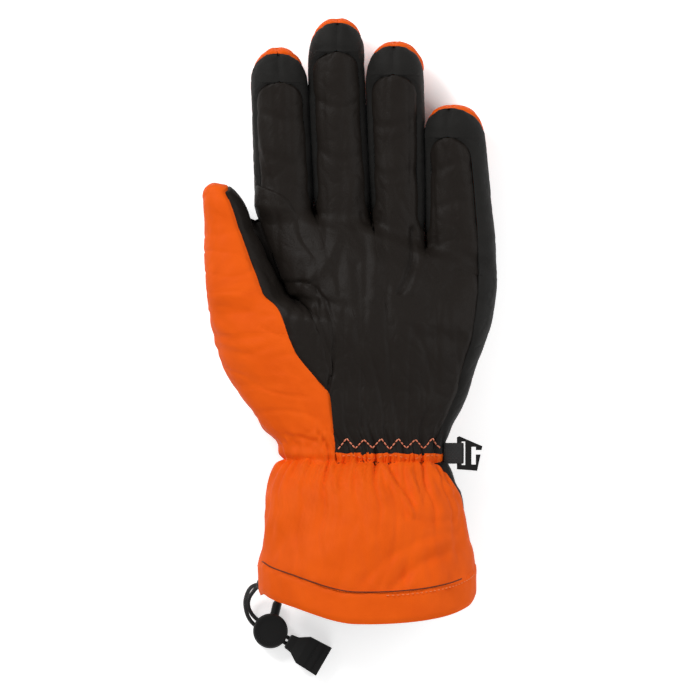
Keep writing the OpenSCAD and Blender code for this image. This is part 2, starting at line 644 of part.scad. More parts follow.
module cord_eyelets() color(plastic_black)
    for (k = [0, 1]) translate(eyelet_spot(k))
        rotate([0, 180 - acos(-eyelets[k][1][2]), 180]) rotate_extrude($fn = 48)
            polygon([[cord_d / 2 + 0.3, 0], [cord_d / 2 + 1.7, 0], [cord_d / 2 + 1.7, eyelet_t * 0.6],
                [cord_d / 2 + 1.2, eyelet_t], [cord_d / 2 + 0.3, eyelet_t]]);

// Two strands run from the hem into the lock: the outer one first
function strand(k, middle) =
    let (
        out = eyelet_spot(k), face = eyelets[k][1],
        entry = lock_centre + (k == 0 ? -0.5 : 0.5) * cord_pitch * cord_side
    )
    concat([out, out + 3.5 * face], middle,
        [entry - (lock_d / 2 + 2.5) * cord_dir, entry - cord_end * cord_dir]);

module cord_loop() color(softshell_black) {
    rod(eased(strand(0, [[-66, -130, 17], [-68, -137, 9]]), 6), cord_d, cord_sides, [0, 0, 1]);
    rod(eased(strand(1, [[-61.5, -128, 8.5], [-67, -136, 4.4]]), 6), cord_d, cord_sides, [0, 0, 1]);
}

pull_start = lock_d / 2 + 1.2;
pull_bore = 5;
// Length of the strands inside the lock, enough for the travel of the pull
tail_in = pull_travel + 4;
module cord_tails() color(softshell_black)
    for (side = [-0.5, 0.5])
        rod([for (r = [cord_end - tail_in, cord_end - tail_in / 2, cord_end - tail_in / 4, cord_end,
            pull_start + pull_bore])
            lock_centre + side * cord_pitch * cord_side + r * cord_dir],
            cord_d, cord_sides, [0, 0, 1]);

// Bell-shaped pull: a narrow neck on the strands, opening to a flat mouth
pull_wall = 1.1;
neck_w = 7.6;
neck_h = 4.6;
neck_len = 4;
module pull_form(grow, from) {
    // Section widths and heights along the pull
    sections = [[0, neck_w - 1, neck_h - 0.6], [0.6, neck_w, neck_h], [neck_len, neck_w + 1, neck_h + 0.4],
        [neck_len + 5, pull_w - 1, pull_h - 0.4], [pull_len, pull_w, pull_h]];
    for (i = [from:len(sections) - 2]) hull() for (k = [i, i + 1])
        translate([sections[k][0] - (k == len(sections) - 1 ? 0.01 : 0), 0, 0])
            rotate([90, 0, 90]) linear_extrude(0.01)
                square([sections[k][1] + 2 * grow, sections[k][2] + 2 * grow], center = true);
}
module at_pull() at_lock() rotate([0, 0, cord_angle]) translate([pull_start, 0, 0]) children();

module pull_shell() color(plastic_black) at_pull() difference() {
    pull_form(0, 0);
    translate([0.02, 0, 0]) pull_form(-pull_wall, 2);
    for (side = [-0.5, 0.5]) translate([-1, side * cord_pitch, 0])
        rotate([0, 90, 0]) cylinder(h = neck_len + 3, d = cord_d + 0.3, $fn = 32);
    // Two grip grooves across the face
    for (x = [0.62, 0.8]) translate([pull_len * x, -pull_w / 2 - 1, pull_h / 2 - 0.6])
        cube([1.2, pull_w + 2, 2]);
}

// Plug inside the pull that holds the knotted strands
module pull_core() color(plastic_black) at_pull() difference() {
    translate([neck_len + 4.2, -(pull_w / 2 - 3.2), -(pull_h / 2 - pull_wall - 0.7)])
        cube([pull_len - neck_len - 6.5, pull_w - 6.4, pull_h - 2 * pull_wall - 1.4]);
    for (side = [-0.5, 0.5]) translate([neck_len, side * cord_pitch, 0])
        rotate([0, 90, 0]) cylinder(h = 6, d = cord_d + 0.3, $fn = 32);
}

hand_palm_panel();
hand_back_panel();
hand_thenar_panel();
thumb_gusset();
hand_radial_sidewall();
hand_ulnar_sidewall();
index_base_patch();
hand_lining();
wrist_elastic();
cuff_palm_panel();
cuff_back_panel();
hem_band();
cuff_lining();
index_palm_panel();
index_back_panel();
index_radial_sidewall();
index_ulnar_sidewall();
index_lining();
middle_palm_panel();
middle_back_panel();
middle_radial_sidewall();
middle_ulnar_sidewall();
middle_lining();
ring_palm_panel();
ring_back_panel();
ring_radial_sidewall();
ring_ulnar_sidewall();
ring_lining();
little_palm_panel();
little_back_panel();
little_radial_sidewall();
little_ulnar_sidewall();
little_lining();
thumb_outer_panel();
thumb_inner_panel();
thumb_back_wedge();
thumb_lining();
webbing_loop();
hook_clip();
cord_eyelets();
cord_loop();
cord_tails();
lock_body();
lock_plunger();
lock_spring();
pull_shell();
pull_core();
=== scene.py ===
# %% [markdown]
# # A gauntlet ski glove, built as sewn panels
#
# A ski glove is a bag of flat pieces. Leather covers the palm because it grips, woven nylon
# covers the back and the cuff because it is light and sheds snow, and stretchy softshell
# fills the sides of the fingers so that they can bend. This lesson draws each sewn piece as
# its own surface and keeps the seams where the pieces meet.
#
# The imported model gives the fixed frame. X runs from the thumb side to the little finger,
# Y from the cuff to the fingertips and Z out of the palm. All lengths below are in
# millimetres until a mesh is made, because glove patterns are drawn in millimetres.

# %% Load the frame
import math

import bpy
import numpy as np
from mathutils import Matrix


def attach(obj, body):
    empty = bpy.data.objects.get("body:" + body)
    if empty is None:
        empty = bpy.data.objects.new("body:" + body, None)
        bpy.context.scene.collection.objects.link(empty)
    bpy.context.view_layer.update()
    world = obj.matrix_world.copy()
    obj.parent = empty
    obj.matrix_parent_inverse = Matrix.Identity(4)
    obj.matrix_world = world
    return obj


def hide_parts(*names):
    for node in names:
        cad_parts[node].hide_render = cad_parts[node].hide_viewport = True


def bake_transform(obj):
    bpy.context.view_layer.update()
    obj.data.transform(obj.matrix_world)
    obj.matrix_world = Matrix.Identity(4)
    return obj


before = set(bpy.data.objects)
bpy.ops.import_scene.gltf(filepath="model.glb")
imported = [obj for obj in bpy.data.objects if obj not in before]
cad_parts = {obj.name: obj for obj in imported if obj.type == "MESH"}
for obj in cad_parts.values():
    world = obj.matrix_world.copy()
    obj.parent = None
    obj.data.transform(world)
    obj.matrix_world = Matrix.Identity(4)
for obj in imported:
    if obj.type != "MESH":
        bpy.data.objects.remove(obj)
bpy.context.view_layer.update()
MM = 0.001

# %% [markdown]
# ## Sizes
#
# These are the sizes the solid model was drawn with: digits are listed from the thumb to
# the little finger. Sharing them keeps every soft surface on the solid it stands for.

# %% Sizes
THUMB, INDEX, MIDDLE, RING, LITTLE = range(5)
NAMES = ["thumb", "index", "middle", "ring", "little"]
DIGIT_LEN = np.array([55.5, 79.5, 97.5, 94, 73])
DIGIT_W = np.array([41.5, 29.5, 28.5, 27, 36])
DIGIT_H = np.array([20, 14.5, 14.5, 14, 13.5])
TIP_LIFT = np.array([14, 5, 5, 6, 6])
MID_LEAN = np.array([-10, -2.2, -3, -1.4, -3])
MID_RATIO = np.array([0.56, 0.97, 0.99, 1.08, 0.86])
TIP_LEAN = np.array([-14.5, -3.5, -2.5, -1.5, -4])
MID_HEIGHT = np.array([0.66, 0.97, 0.97, 0.98, 0.98])
RADIAL_X, THUMB_INSET, THUMB_Y, FINGER_Y = -62.5, 16.5, 18, 60.5
CROTCH_DROP = np.array([-1.5, 0, 4, 16, 24.5])
PALM_H, REST_FLAT, FINGER_Z, DIGIT_GAP = 23.5, 1.5, 15, 0.6
WRIST_Y, WRIST_X, WRIST_W, WRIST_H = -65, -8.75, 82, 21.5
CUFF_LEN, CUFF_X, CUFF_W, CUFF_H = 66, -6.5, 108, 32
HEM_DROP, HEM_W, CUFF_LIFT = 15, 13.5, 1
DOME, TIP_WRAP, LEATHER_ROUND = 16, 17.5, 10
PALM_ROUND, TIP_ROUND, CUFF_ROUND = 2.5, 2.2, 2.2
THUMB_ZONE, FINGER_ZONE, GUSSET_SHARE = 0.1, 0.075, 0.34
PALM_EDGE = 4.66

WRIST_LEFT, WRIST_RIGHT = WRIST_X - WRIST_W / 2, WRIST_X + WRIST_W / 2
THUMB_RIGHT = RADIAL_X + THUMB_INSET
THUMB_LEFT = THUMB_RIGHT - DIGIT_W[THUMB]
EDGES = RADIAL_X + np.concatenate([[0], np.cumsum(DIGIT_W[1:])])
ROOTS = FINGER_Y - CROTCH_DROP
HAND_LEN = ROOTS[0] - WRIST_Y
THUMB_AT = (THUMB_Y - WRIST_Y) / HAND_LEN
KNUCKLE_H = DIGIT_H[1:].max() + 1.5
LOWEST = 0.05
print("finger edges:", EDGES.tolist())

# %% Curves and blends


def curve(table, x):
    """Cubic Hermite curve through a table of (position, value) rows.

    With h the gap between two rows, u = (x - x0) / h and slopes m0, m1:
    y = (2u^3 - 3u^2 + 1) y0 + (u^3 - 2u^2 + u) h m0 + (3u^2 - 2u^3) y1 + (u^3 - u^2) h m1.
    """
    t = np.array(table, float)
    x = np.asarray(x, float)
    lo, hi = np.maximum(np.arange(len(t)) - 1, 0), np.minimum(np.arange(len(t)) + 1, len(t) - 1)
    m = (t[hi, 1] - t[lo, 1]) / (t[hi, 0] - t[lo, 0])
    i = np.clip(np.searchsorted(t[:, 0], x, "right") - 1, 0, len(t) - 2)
    h = t[i + 1, 0] - t[i, 0]
    u = np.clip((x - t[i, 0]) / h, 0, 1)
    return (t[i, 1] * (2 * u**3 - 3 * u**2 + 1) + m[i] * h * (u**3 - 2 * u**2 + u)
            + t[i + 1, 1] * (3 * u**2 - 2 * u**3) + m[i + 1] * h * (u**3 - u**2))


def even(count):
    """Evenly spaced shares from 0 to 1."""
    return np.linspace(0, 1, count)


def mix(a, b, t):
    return a + (b - a) * t


def ease(t):
    """Smooth step, 3t^2 - 2t^3 of t held between 0 and 1."""
    t = np.clip(t, 0, 1)
    return t * t * (3 - 2 * t)


def arch(f, n):
    """Half section of a superellipse, (1 - |f|^n)^(1/n): 1 in the middle, 0 at both edges."""
    return np.maximum(0, 1 - np.abs(f) ** n) ** (1 / n)


def root_y(x):
    return np.interp(x, EDGES, ROOTS)


# %% [markdown]
# ## The hand
#
# A row v runs from the wrist (0) to the finger roots (1). A column p runs over the palm
# from the thumb side (0) to the little finger's side (5) and returns under the hand to 10.
# The section starts as one rounded bag and divides into rounded lobes near each crotch,
# just as the padding does in a filled glove.

# %% Surface of the hand
THENAR = [[0, 0], [0.1, 0.07], [0.2, 0.25], [0.4, 0.57], [0.6, 0.8], [0.8, 0.93], [1, 1]]
GUSSET = [[0, 0], [0.4, 0.12], [0.65, 0.17], [0.8, 0.33], [0.92, 0.58], [1, 1]]
ULNAR = [[0, 0], [0.1, 0.05], [0.3, 0.42], [0.45, 0.6], [0.65, 0.87], [0.85, 0.99], [1, 1]]
THENAR_SEAM = [[0, 0.99], [0.24, 0.985], [0.32, 0.77], [0.44, 0.63], [0.66, 0.64]]
HAND_H = [[0, WRIST_H], [0.3, PALM_H - 0.5], [0.55, PALM_H],
          [0.8, mix(PALM_H, KNUCKLE_H, 0.45)], [1, KNUCKLE_H]]
WRIST_LIFT = [[0, 4], [0.15, 1.5], [0.3, 0]]


def left_x(v):
    return mix(WRIST_LEFT, THUMB_LEFT, curve(THENAR, v / THUMB_AT))


def split_x(v):
    low = mix(WRIST_LEFT + GUSSET_SHARE * WRIST_W, THUMB_RIGHT, curve(GUSSET, v / THUMB_AT))
    high = mix(THUMB_RIGHT, RADIAL_X, (v - THUMB_AT) / (1 - THUMB_AT))
    return np.where(v <= THUMB_AT, low, high)


def right_x(v):
    return mix(WRIST_RIGHT, EDGES[4], curve(ULNAR, v))


def column_x(v, k):
    """Left edge of column k at row v: column 0 is the thumb's, 1 to 4 are the fingers'."""
    share = (EDGES[np.clip(k - 1, 0, 4)] - RADIAL_X) / (EDGES[4] - RADIAL_X)
    return np.where(k == 0, left_x(v), mix(split_x(v), right_x(v), share))


def hand_h(v):
    return curve(HAND_H, v)


def hand_z(v):
    return mix(hand_h(v) - REST_FLAT + curve(WRIST_LIFT, v), FINGER_Z, ease((v - 0.8) / 0.2))


def fold(x, middle, half, h):
    return h * arch((x - middle) / np.maximum(half, 0.1), PALM_ROUND)


def hand(v, p):
    """Point of the hand at row v and column p, both arrays of one shape.

    z = middle(v) +- H(v, x), where H blends the whole section with one superellipse lobe
    per digit: H = (1 - t) H_whole + t H_lobe, and t eases to 1 at each digit's root.
    """
    v, p = np.broadcast_arrays(np.asarray(v, float), np.asarray(p, float))
    top = (p >= 0) & (p <= 5)
    c = np.minimum(np.where(top, p, np.where(p < 0, -p, 10 - p)), 4.99999)
    k = np.floor(c).astype(int)
    a, b = column_x(v, k), column_x(v, k + 1)
    at_root = np.where(k == 0, ease(1 - (THUMB_AT - v) / THUMB_ZONE), ease(1 - (1 - v) / FINGER_ZONE))
    middle, half = (a + b) / 2, (b - a) / 2
    x = middle - half * (1 - at_root * DIGIT_GAP / 2 / half) * np.cos(np.pi * (c - k))
    low = v <= THUMB_AT
    s, r, h = split_x(v), right_x(v), hand_h(v)
    l = np.where(low, left_x(v), s + DIGIT_GAP / 2)
    x = np.clip(x, l, r)
    whole = fold(x, (l + r) / 2, (r - l) / 2, h)
    g = DIGIT_GAP / 2
    side = np.where(x < s, fold(x, (l + s) / 2, (s - l) / 2 - g, DIGIT_H[THUMB]),
                    fold(x, (s + g + r) / 2, (r - s - g) / 2, h))
    at_thumb = np.where(low, mix(whole, side, ease(1 - (THUMB_AT - v) / THUMB_ZONE)), whole)
    kf = np.clip(k, 1, 4)
    fa, fb = column_x(v, kf), column_x(v, kf + 1)
    finger = fold(x, (fa + fb) / 2, (fb - fa) / 2 - g, DIGIT_H[kf])
    rise = mix(at_thumb, finger, ease(1 - (1 - v) / FINGER_ZONE))
    y = mix(WRIST_Y, root_y(x), v)
    z = np.where(top, hand_z(v) + rise, np.maximum(hand_z(v) - rise, LOWEST))
    return np.stack([x, y, z], -1)


print("hand:", EDGES[4] - RADIAL_X, "mm over the knuckles")


# %% [markdown]
# ## The digits
#
# A digit is a bent, tapering tube with a rounded tip. Position s is the distance in
# millimetres from its root and the angle a goes round it: 0 on the thumb side, 90 on the
# palm and 180 on the little finger's side. Negative s runs down into the hand, so one
# surface crosses the knuckle with no break.

# %% Surface of a digit
ROOT_X = np.array([THUMB_RIGHT - DIGIT_W[0] / 2] + [EDGES[i - 1] + DIGIT_W[i] / 2 for i in range(1, 5)])
BASE_Y = np.array([THUMB_Y] + [float(root_y(x)) for x in ROOT_X[1:]])
BASE_Z = np.array([float(hand_z(np.array(THUMB_AT)))] + [FINGER_Z] * 4)


def digit(i, s, a):
    """Point of digit i at distance s and angle a in degrees.

    x = cx(s) - w(s) cos a,  z = cz(s) + h(s) sgn(sin a) (1 - |cos a|^n)^(1/n), and both w
    and h shrink as (1 - u^m)^(1/m) over the rounded tip, u being the share of the tip.
    """
    s, a = np.broadcast_arrays(np.asarray(s, float), np.asarray(a, float))
    body = DIGIT_LEN[i] - DOME
    rise = np.clip((s - body) / DOME, 0, 1)
    near = np.clip(s, 0, body)
    t = np.clip(s / DIGIT_LEN[i], 0, 1)
    taper = arch(rise, TIP_ROUND)
    round_ = mix(PALM_ROUND, TIP_ROUND, np.minimum(1, t * 1.5))
    width = DIGIT_W[i] / 2 * curve([[0, 1], [0.7, MID_RATIO[i]], [1, MID_RATIO[i] * 0.96]], t) - DIGIT_GAP / 2
    height = DIGIT_H[i] * curve([[0, 1], [0.7, MID_HEIGHT[i]], [1, MID_HEIGHT[i] * 0.95]], t)
    top = DIGIT_H[i] * MID_HEIGHT[i] * 0.95 + TIP_LIFT[i]
    ca, sa = np.cos(np.radians(a)), np.sin(np.radians(a))
    half, h = width * taper, height * taper
    cx = ROOT_X[i] + curve([[0, 0], [0.7, MID_LEAN[i]], [1, TIP_LEAN[i]]], t)
    slant = 0 if i == THUMB else (root_y(ROOT_X[i] - half * ca) - BASE_Y[i]) * (1 - near / body) ** 2
    up = np.stack([cx - half * ca, BASE_Y[i] + near + rise * DOME + slant,
                   mix(BASE_Z[i], top, t * t) + h * np.sign(sa) * arch(ca, round_)], -1)
    at, reach = (THUMB_AT, HAND_LEN) if i == THUMB else (1.0, BASE_Y[i] - WRIST_Y)
    aw = np.where(a >= 359.99, 359.99, np.mod(a, 360))
    upper, lower = np.minimum(aw / 180, 0.9999), np.minimum((360 - aw) / 180, 0.9999)
    p = np.where(aw <= 180, i + upper, -lower if i == THUMB else 10 - i - lower)
    down = hand(at + np.minimum(s, 0) / reach, p)
    return np.where((s < 0)[..., None], down, up)


print("digit roots:", np.round(np.stack([ROOT_X, BASE_Y, BASE_Z], 1), 1).tolist())

# %% [markdown]
# ## Camera and light
#
# The glove lies palm up on a pale sheet and is seen from straight above through a long
# lens, so that the fingers keep their true lengths. Two large soft lamps give broad,
# even highlights, and the sheet stays nearly white while it still takes a contact shadow;
# under the fingers its glow is left out, a painted shade that keeps the gaps dark.

# %% Camera and lamps
camera = bpy.data.objects.new("camera", bpy.data.cameras.new("camera"))
camera.location = (-0.015, -0.010, 6.0)
camera.data.sensor_width, camera.data.lens = 36, 616
bpy.context.collection.objects.link(camera)
bpy.context.scene.camera = camera
bpy.context.scene.view_settings.view_transform = "Standard"


def lamp(name, place, aim, size, power):
    """A square area light at place, turned so that its -Z axis points at aim."""
    light = bpy.data.lights.new(name, "AREA")
    light.size, light.energy = size, power
    ob = bpy.data.objects.new(name, light)
    d = np.array(aim, float) - np.array(place, float)
    ob.location = place
    ob.rotation_euler = (math.atan2(math.hypot(d[0], d[1]), -d[2]), 0, math.atan2(d[1], d[0]) - math.pi / 2)
    bpy.context.collection.objects.link(ob)
    return ob


lamps = [lamp("key", (-0.75, 0.75, 0.9), (0, 0, 0.02), 0.5, 11.0),
         lamp("fill", (0.9, 0.2, 0.8), (0, 0, 0.02), 0.6, 4.5),
         lamp("low", (0.1, -1.0, 0.6), (0, 0, 0.02), 0.6, 2.2)]
print("camera height:", camera.location.z, "m; lamps:", len(lamps))

# %% How every material starts


def tree(name):
    """A material with an empty node tree and the two nodes every material here ends in."""
    m = bpy.data.materials.new("glove_" + name)
    m.use_nodes = True
    m.node_tree.nodes.clear()
    n = m.node_tree.nodes
    out, shade = n.new("ShaderNodeOutputMaterial"), n.new("ShaderNodeBsdfPrincipled")
    m.node_tree.links.new(shade.outputs[0], out.inputs[0])
    return m, n, m.node_tree.links, shade


def maths(n, link, kind, a, b=None):
    """One Math node; a and b are sockets or numbers."""
    node = n.new("ShaderNodeMath")
    node.operation = kind
    for slot, value in enumerate([a, b]):
        if value is None:
            continue
        if isinstance(value, (int, float)):
            node.inputs[slot].default_value = value
        else:
            link.new(value, node.inputs[slot])
    return node.outputs[0]

# %% The sheet and the air
SHEET_GLOW = 0.55
# SHADE_CENTRE, SHADE_SIZE and SHADE_EDGE place the ellipse of painted shade under the fingers
SHADE_CENTRE, SHADE_SIZE, SHADE_EDGE = (-0.002, 0.078, 0), (0.052, 0.062, 1), 4.0


def sheet_material():
    """Pale paper that glows a little where it is seen, so that its shaded part stays pale.

    Under the fingers the glow is left out in an ellipse, a painted shade that keeps the gaps dark.
    """
    m, n, link, shade = tree("studio_sheet")
    noise = n.new("ShaderNodeTexNoise")
    noise.inputs["Scale"].default_value = 6
    ramp = n.new("ShaderNodeValToRGB")
    ramp.color_ramp.elements[0].color = (0.90, 0.90, 0.90, 1)
    ramp.color_ramp.elements[1].color = (0.95, 0.95, 0.95, 1)
    link.new(noise.outputs[0], ramp.inputs[0])
    link.new(ramp.outputs[0], shade.inputs["Base Color"])
    shade.inputs["Roughness"].default_value = 0.9
    path = n.new("ShaderNodeLightPath")
    seen = maths(n, link, "MAXIMUM", path.outputs["Is Camera Ray"], path.outputs["Is Glossy Ray"])
    seen = maths(n, link, "MAXIMUM", seen, path.outputs["Is Transmission Ray"])
    where, ball = n.new("ShaderNodeTexCoord"), n.new("ShaderNodeTexGradient")
    put = n.new("ShaderNodeMapping")
    put.vector_type = "TEXTURE"
    put.inputs["Location"].default_value = SHADE_CENTRE
    put.inputs["Scale"].default_value = SHADE_SIZE
    ball.gradient_type = "SPHERICAL"
    link.new(where.outputs["Object"], put.inputs[0])
    link.new(put.outputs[0], ball.inputs[0])
    # painted shade: the glow falls to nothing inside the ellipse under the fingers
    shaded = maths(n, link, "MINIMUM", maths(n, link, "MULTIPLY", ball.outputs[1], SHADE_EDGE), 1.0)
    glow = maths(n, link, "MULTIPLY", maths(n, link, "SUBTRACT", 1.0, shaded), SHEET_GLOW)
    link.new(maths(n, link, "MULTIPLY", seen, glow), shade.inputs["Emission Strength"])
    shade.inputs["Emission Color"].default_value = (1, 1, 1, 1)
    return m


bpy.ops.mesh.primitive_grid_add(x_subdivisions=8, y_subdivisions=8, size=6, location=(0, 0, -0.0004))
floor = bpy.context.object
floor.name = "studio_floor"
floor.data.materials.append(sheet_material())
world = bpy.data.worlds.new("studio")
world.use_nodes = True
world.node_tree.nodes["Background"].inputs[0].default_value = (1, 1, 1, 1)
world.node_tree.nodes["Background"].inputs[1].default_value = 0.30
bpy.context.scene.world = world
print("sheet glow:", SHEET_GLOW)

# %% [markdown]
# ## Finishes
#
# Each cloth has its own small-scale relief. Goat leather has a pebbled grain with tiny
# pits, woven nylon shows crossed ribs, softshell is a fine knit and fleece is a felted
# pile. The relief is made once as a group that gives a height and a colour mask, and the
# material turns these into a bump and a shade.

# %% Shared effects


def group(name, ins, outs, build):
    """A shared node group: ins and outs list (name, socket type) pairs."""
    g = bpy.data.node_groups.new(name, "ShaderNodeTree")
    for label, kind in ins:
        g.interface.new_socket(label, in_out="INPUT", socket_type=kind)
    for label, kind in outs:
        g.interface.new_socket(label, in_out="OUTPUT", socket_type=kind)
    start, end = g.nodes.new("NodeGroupInput"), g.nodes.new("NodeGroupOutput")
    build(g.nodes, g.links, start, end)
    return g


def texture(n, link, kind, vector, scale, **inputs):
    node = n.new(kind)
    link.new(vector, node.inputs["Vector"])
    node.inputs["Scale"].default_value = scale
    for key, value in inputs.items():
        node.inputs[key].default_value = value
    return node


def pebble(n, link, start, end):
    """Leather: cell walls dip between pebbles, and slow noise swells them unevenly."""
    v = start.outputs["Vector"]
    warp = texture(n, link, "ShaderNodeTexNoise", v, 300, Detail=2.0)
    add = n.new("ShaderNodeVectorMath")
    add.operation = "MULTIPLY_ADD"
    link.new(warp.outputs["Color"], add.inputs[0])
    add.inputs[1].default_value = [0.0006] * 3
    link.new(v, add.inputs[2])
    cells = texture(n, link, "ShaderNodeTexVoronoi", add.outputs[0], 1500)
    cells.feature = "F1"
    fine = texture(n, link, "ShaderNodeTexNoise", v, 2400, Detail=3.0)
    slow = texture(n, link, "ShaderNodeTexNoise", v, 90, Detail=4.0)
    dome = maths(n, link, "SUBTRACT", 1.0, cells.outputs["Distance"])
    rough = maths(n, link, "MULTIPLY", fine.outputs[0], 0.5)
    total = maths(n, link, "ADD", dome, rough)
    link.new(maths(n, link, "MULTIPLY_ADD", slow.outputs[0], 1.4), end.inputs["Mask"])
    link.new(total, end.inputs["Height"])


def weave(n, link, start, end):
    """Plain weave: warp and weft ribs, |sin| of each direction, take turns on top."""
    parts = n.new("ShaderNodeSeparateXYZ")
    link.new(start.outputs["Vector"], parts.inputs[0])
    ribs = []
    for axis in ("X", "Y"):
        turns = maths(n, link, "MULTIPLY", parts.outputs[axis], math.pi / RIB_PITCH)
        ribs.append(maths(n, link, "SINE", turns))
    over = maths(n, link, "MULTIPLY", *ribs)
    both = maths(n, link, "MAXIMUM", *(maths(n, link, "ABSOLUTE", rib) for rib in ribs))
    link.new(maths(n, link, "ADD", both, maths(n, link, "MULTIPLY", over, 0.4)), end.inputs["Height"])
    slow = texture(n, link, "ShaderNodeTexNoise", start.outputs["Vector"], 60, Detail=5.0)
    link.new(slow.outputs[0], end.inputs["Mask"])


def knit(n, link, start, end):
    """Fine knit or pile: small soft cells over a fibrous noise."""
    v = start.outputs["Vector"]
    cells = texture(n, link, "ShaderNodeTexVoronoi", v, 1100, Randomness=0.55)
    fibre = texture(n, link, "ShaderNodeTexNoise", v, 1900, Detail=4.0, Distortion=1.5)
    slow = texture(n, link, "ShaderNodeTexNoise", v, 70, Detail=4.0)
    link.new(maths(n, link, "SUBTRACT", fibre.outputs[0], cells.outputs["Distance"]), end.inputs["Height"])
    link.new(slow.outputs[0], end.inputs["Mask"])


RIB_PITCH = 0.0009
FIELD = [("Vector", "NodeSocketVector")]
RESULT = [("Height", "NodeSocketFloat"), ("Mask", "NodeSocketFloat")]
EFFECTS = {"pebble": group("pebble", FIELD, RESULT, pebble), "weave": group("weave", FIELD, RESULT, weave),
           "knit": group("knit", FIELD, RESULT, knit)}
print("effects:", sorted(EFFECTS))

# %% Finishes


def finish_of(name, effect, dark, light, rough, relief, source="Object", sheen=0.0, gloss=0.5, **more):
    """A material: the effect's mask mixes two shades and its height becomes a bump."""
    m, n, link, shade = tree(name)
    where = n.new("ShaderNodeTexCoord")
    box = n.new("ShaderNodeGroup")
    box.node_tree = EFFECTS[effect]
    link.new(where.outputs[source], box.inputs[0])
    ramp = n.new("ShaderNodeValToRGB")
    ramp.color_ramp.elements[0].position, ramp.color_ramp.elements[1].position = 0.3, 0.75
    ramp.color_ramp.elements[0].color = (*dark, 1)
    ramp.color_ramp.elements[1].color = (*light, 1)
    link.new(box.outputs["Mask"], ramp.inputs[0])
    link.new(ramp.outputs[0], shade.inputs["Base Color"])
    bump = n.new("ShaderNodeBump")
    bump.inputs["Strength"].default_value = 0.6
    bump.inputs["Distance"].default_value = relief
    link.new(box.outputs["Height"], bump.inputs["Height"])
    link.new(bump.outputs[0], shade.inputs["Normal"])
    shade.inputs["Roughness"].default_value = rough
    shade.inputs["Specular IOR Level"].default_value = gloss
    shade.inputs["Sheen Weight"].default_value = sheen
    for key, value in more.items():
        shade.inputs[key].default_value = value
    return m


LEATHER = finish_of("palm_leather", "pebble", (0.0070, 0.0054, 0.0042), (0.0140, 0.0108, 0.0088), 0.54,
                    0.00012, gloss=0.13)
ORANGE = finish_of("orange_nylon", "weave", (0.83, 0.100, 0.0005), (0.93, 0.122, 0.002), 0.65, 0.00006,
                   "UV", sheen=0.02, gloss=0.14)
SHELL = finish_of("softshell", "knit", (0.0085, 0.0080, 0.0072), (0.0150, 0.0140, 0.0128), 0.72, 0.0001,
                  sheen=0.04, gloss=0.17)
FLEECE = finish_of("fleece", "knit", (0.06, 0.06, 0.062), (0.12, 0.12, 0.125), 0.95, 0.0004,
                   sheen=0.5, gloss=0.1)
ELASTIC = finish_of("elastic", "weave", [0.012] * 3, [0.02] * 3, 0.8, 0.0002)
WEBBING = finish_of("webbing", "weave", [0.010] * 3, [0.018] * 3, 0.7, 0.0002)
CORD = finish_of("cord", "weave", [0.010] * 3, [0.022] * 3, 0.7, 0.0003, "UV")
PLASTIC = finish_of("black_plastic", "knit", (0.0045, 0.0042, 0.0040), (0.007, 0.0066, 0.0062), 0.36,
                    0.00002, gloss=0.4)
STEEL = finish_of("spring_steel", "knit", (0.45, 0.45, 0.46), (0.6, 0.6, 0.62), 0.3, 0.00001, Metallic=1.0)
THREAD = finish_of("orange_thread", "knit", (0.75, 0.20, 0.10), (0.90, 0.33, 0.20), 0.6, 0.00005)
# dark brown for a rod that paints the shade line where the cuff tucks over the hem
SEAM_SHADE = finish_of("seam_shade", "knit", (0.10, 0.018, 0.002), (0.17, 0.03, 0.004), 0.8, 0.00005)
PALE_THREAD = finish_of("pale_thread", "knit", (0.82, 0.20, 0.05), (0.95, 0.30, 0.10), 0.6, 0.00005)
print("finishes:", len(bpy.data.materials))

# %% [markdown]
# ## From a surface to a sewn panel
#
# A panel is sampled on a grid, pushed along its normals by its wrinkles, and rolled under
# at the seams, where the thread pulls the edge in. A narrow turned hem closes the edge.
# The normals come from the same grid, with one spare row beyond an edge where the cloth
# runs on into the next piece, so that no line shows across a knuckle.

# %% Grid helpers
SEAM_DEPTH, SEAM_REACH, HEM_TURN = 0.95, 1.5, 1.3
BOTH_SIDES, RUNS_UP, RUNS_DOWN = (0, 0, 1, 1), (False, True), (True, False)


def waves(P, seed, size, stretch=(1, 1, 1), count=9):
    """Sum of plane waves, w(P) = sum sin(2 pi d_k . P / L_k + phase_k) / sqrt(count)."""
    rng = np.random.default_rng(seed)
    d = rng.normal(size=(count, 3))
    d = d / np.linalg.norm(d, axis=1, keepdims=True) * np.array(stretch)
    period = size * rng.uniform(0.7, 1.5, count)
    return np.sin(2 * np.pi * (P @ d.T) / period + rng.uniform(0, 6.28, count)).sum(-1) / math.sqrt(count)


def wrinkles(P, seed, size, depth, stretch=(1, 1, 1), sharp=0.3):
    """Valleys along the zero lines of the waves: -depth exp(-(w / sharp)^2)."""
    return -depth * np.exp(-(waves(P, seed, size, stretch) / sharp) ** 2)


def creases(P, lines):
    """Listed creases: -depth exp(-(d / width)^2), d being the distance to a line in XY."""
    out = np.zeros(P.shape[:-1])
    for depth, width, pts in lines:
        d = np.full(out.shape, 1e9)
        for a, b in zip(np.array(pts[:-1], float), np.array(pts[1:], float)):
            along = np.clip(((P[..., :2] - a) @ (b - a)) / ((b - a) @ (b - a)), 0, 1)
            d = np.minimum(d, np.linalg.norm(P[..., :2] - a - along[..., None] * (b - a), axis=-1))
        out -= depth * np.exp(-(d / width) ** 2)
    return out


def unit(v):
    return v / np.maximum(np.linalg.norm(v, axis=-1, keepdims=True), 1e-9)


def grid_normals(P, turn):
    n = np.cross(np.gradient(P, axis=1), np.gradient(P, axis=0)) * turn
    flat = np.linalg.norm(n, axis=-1) < 1e-7
    n[flat] = (0, 1, 0)
    return unit(n)

# %% From arrays to a mesh


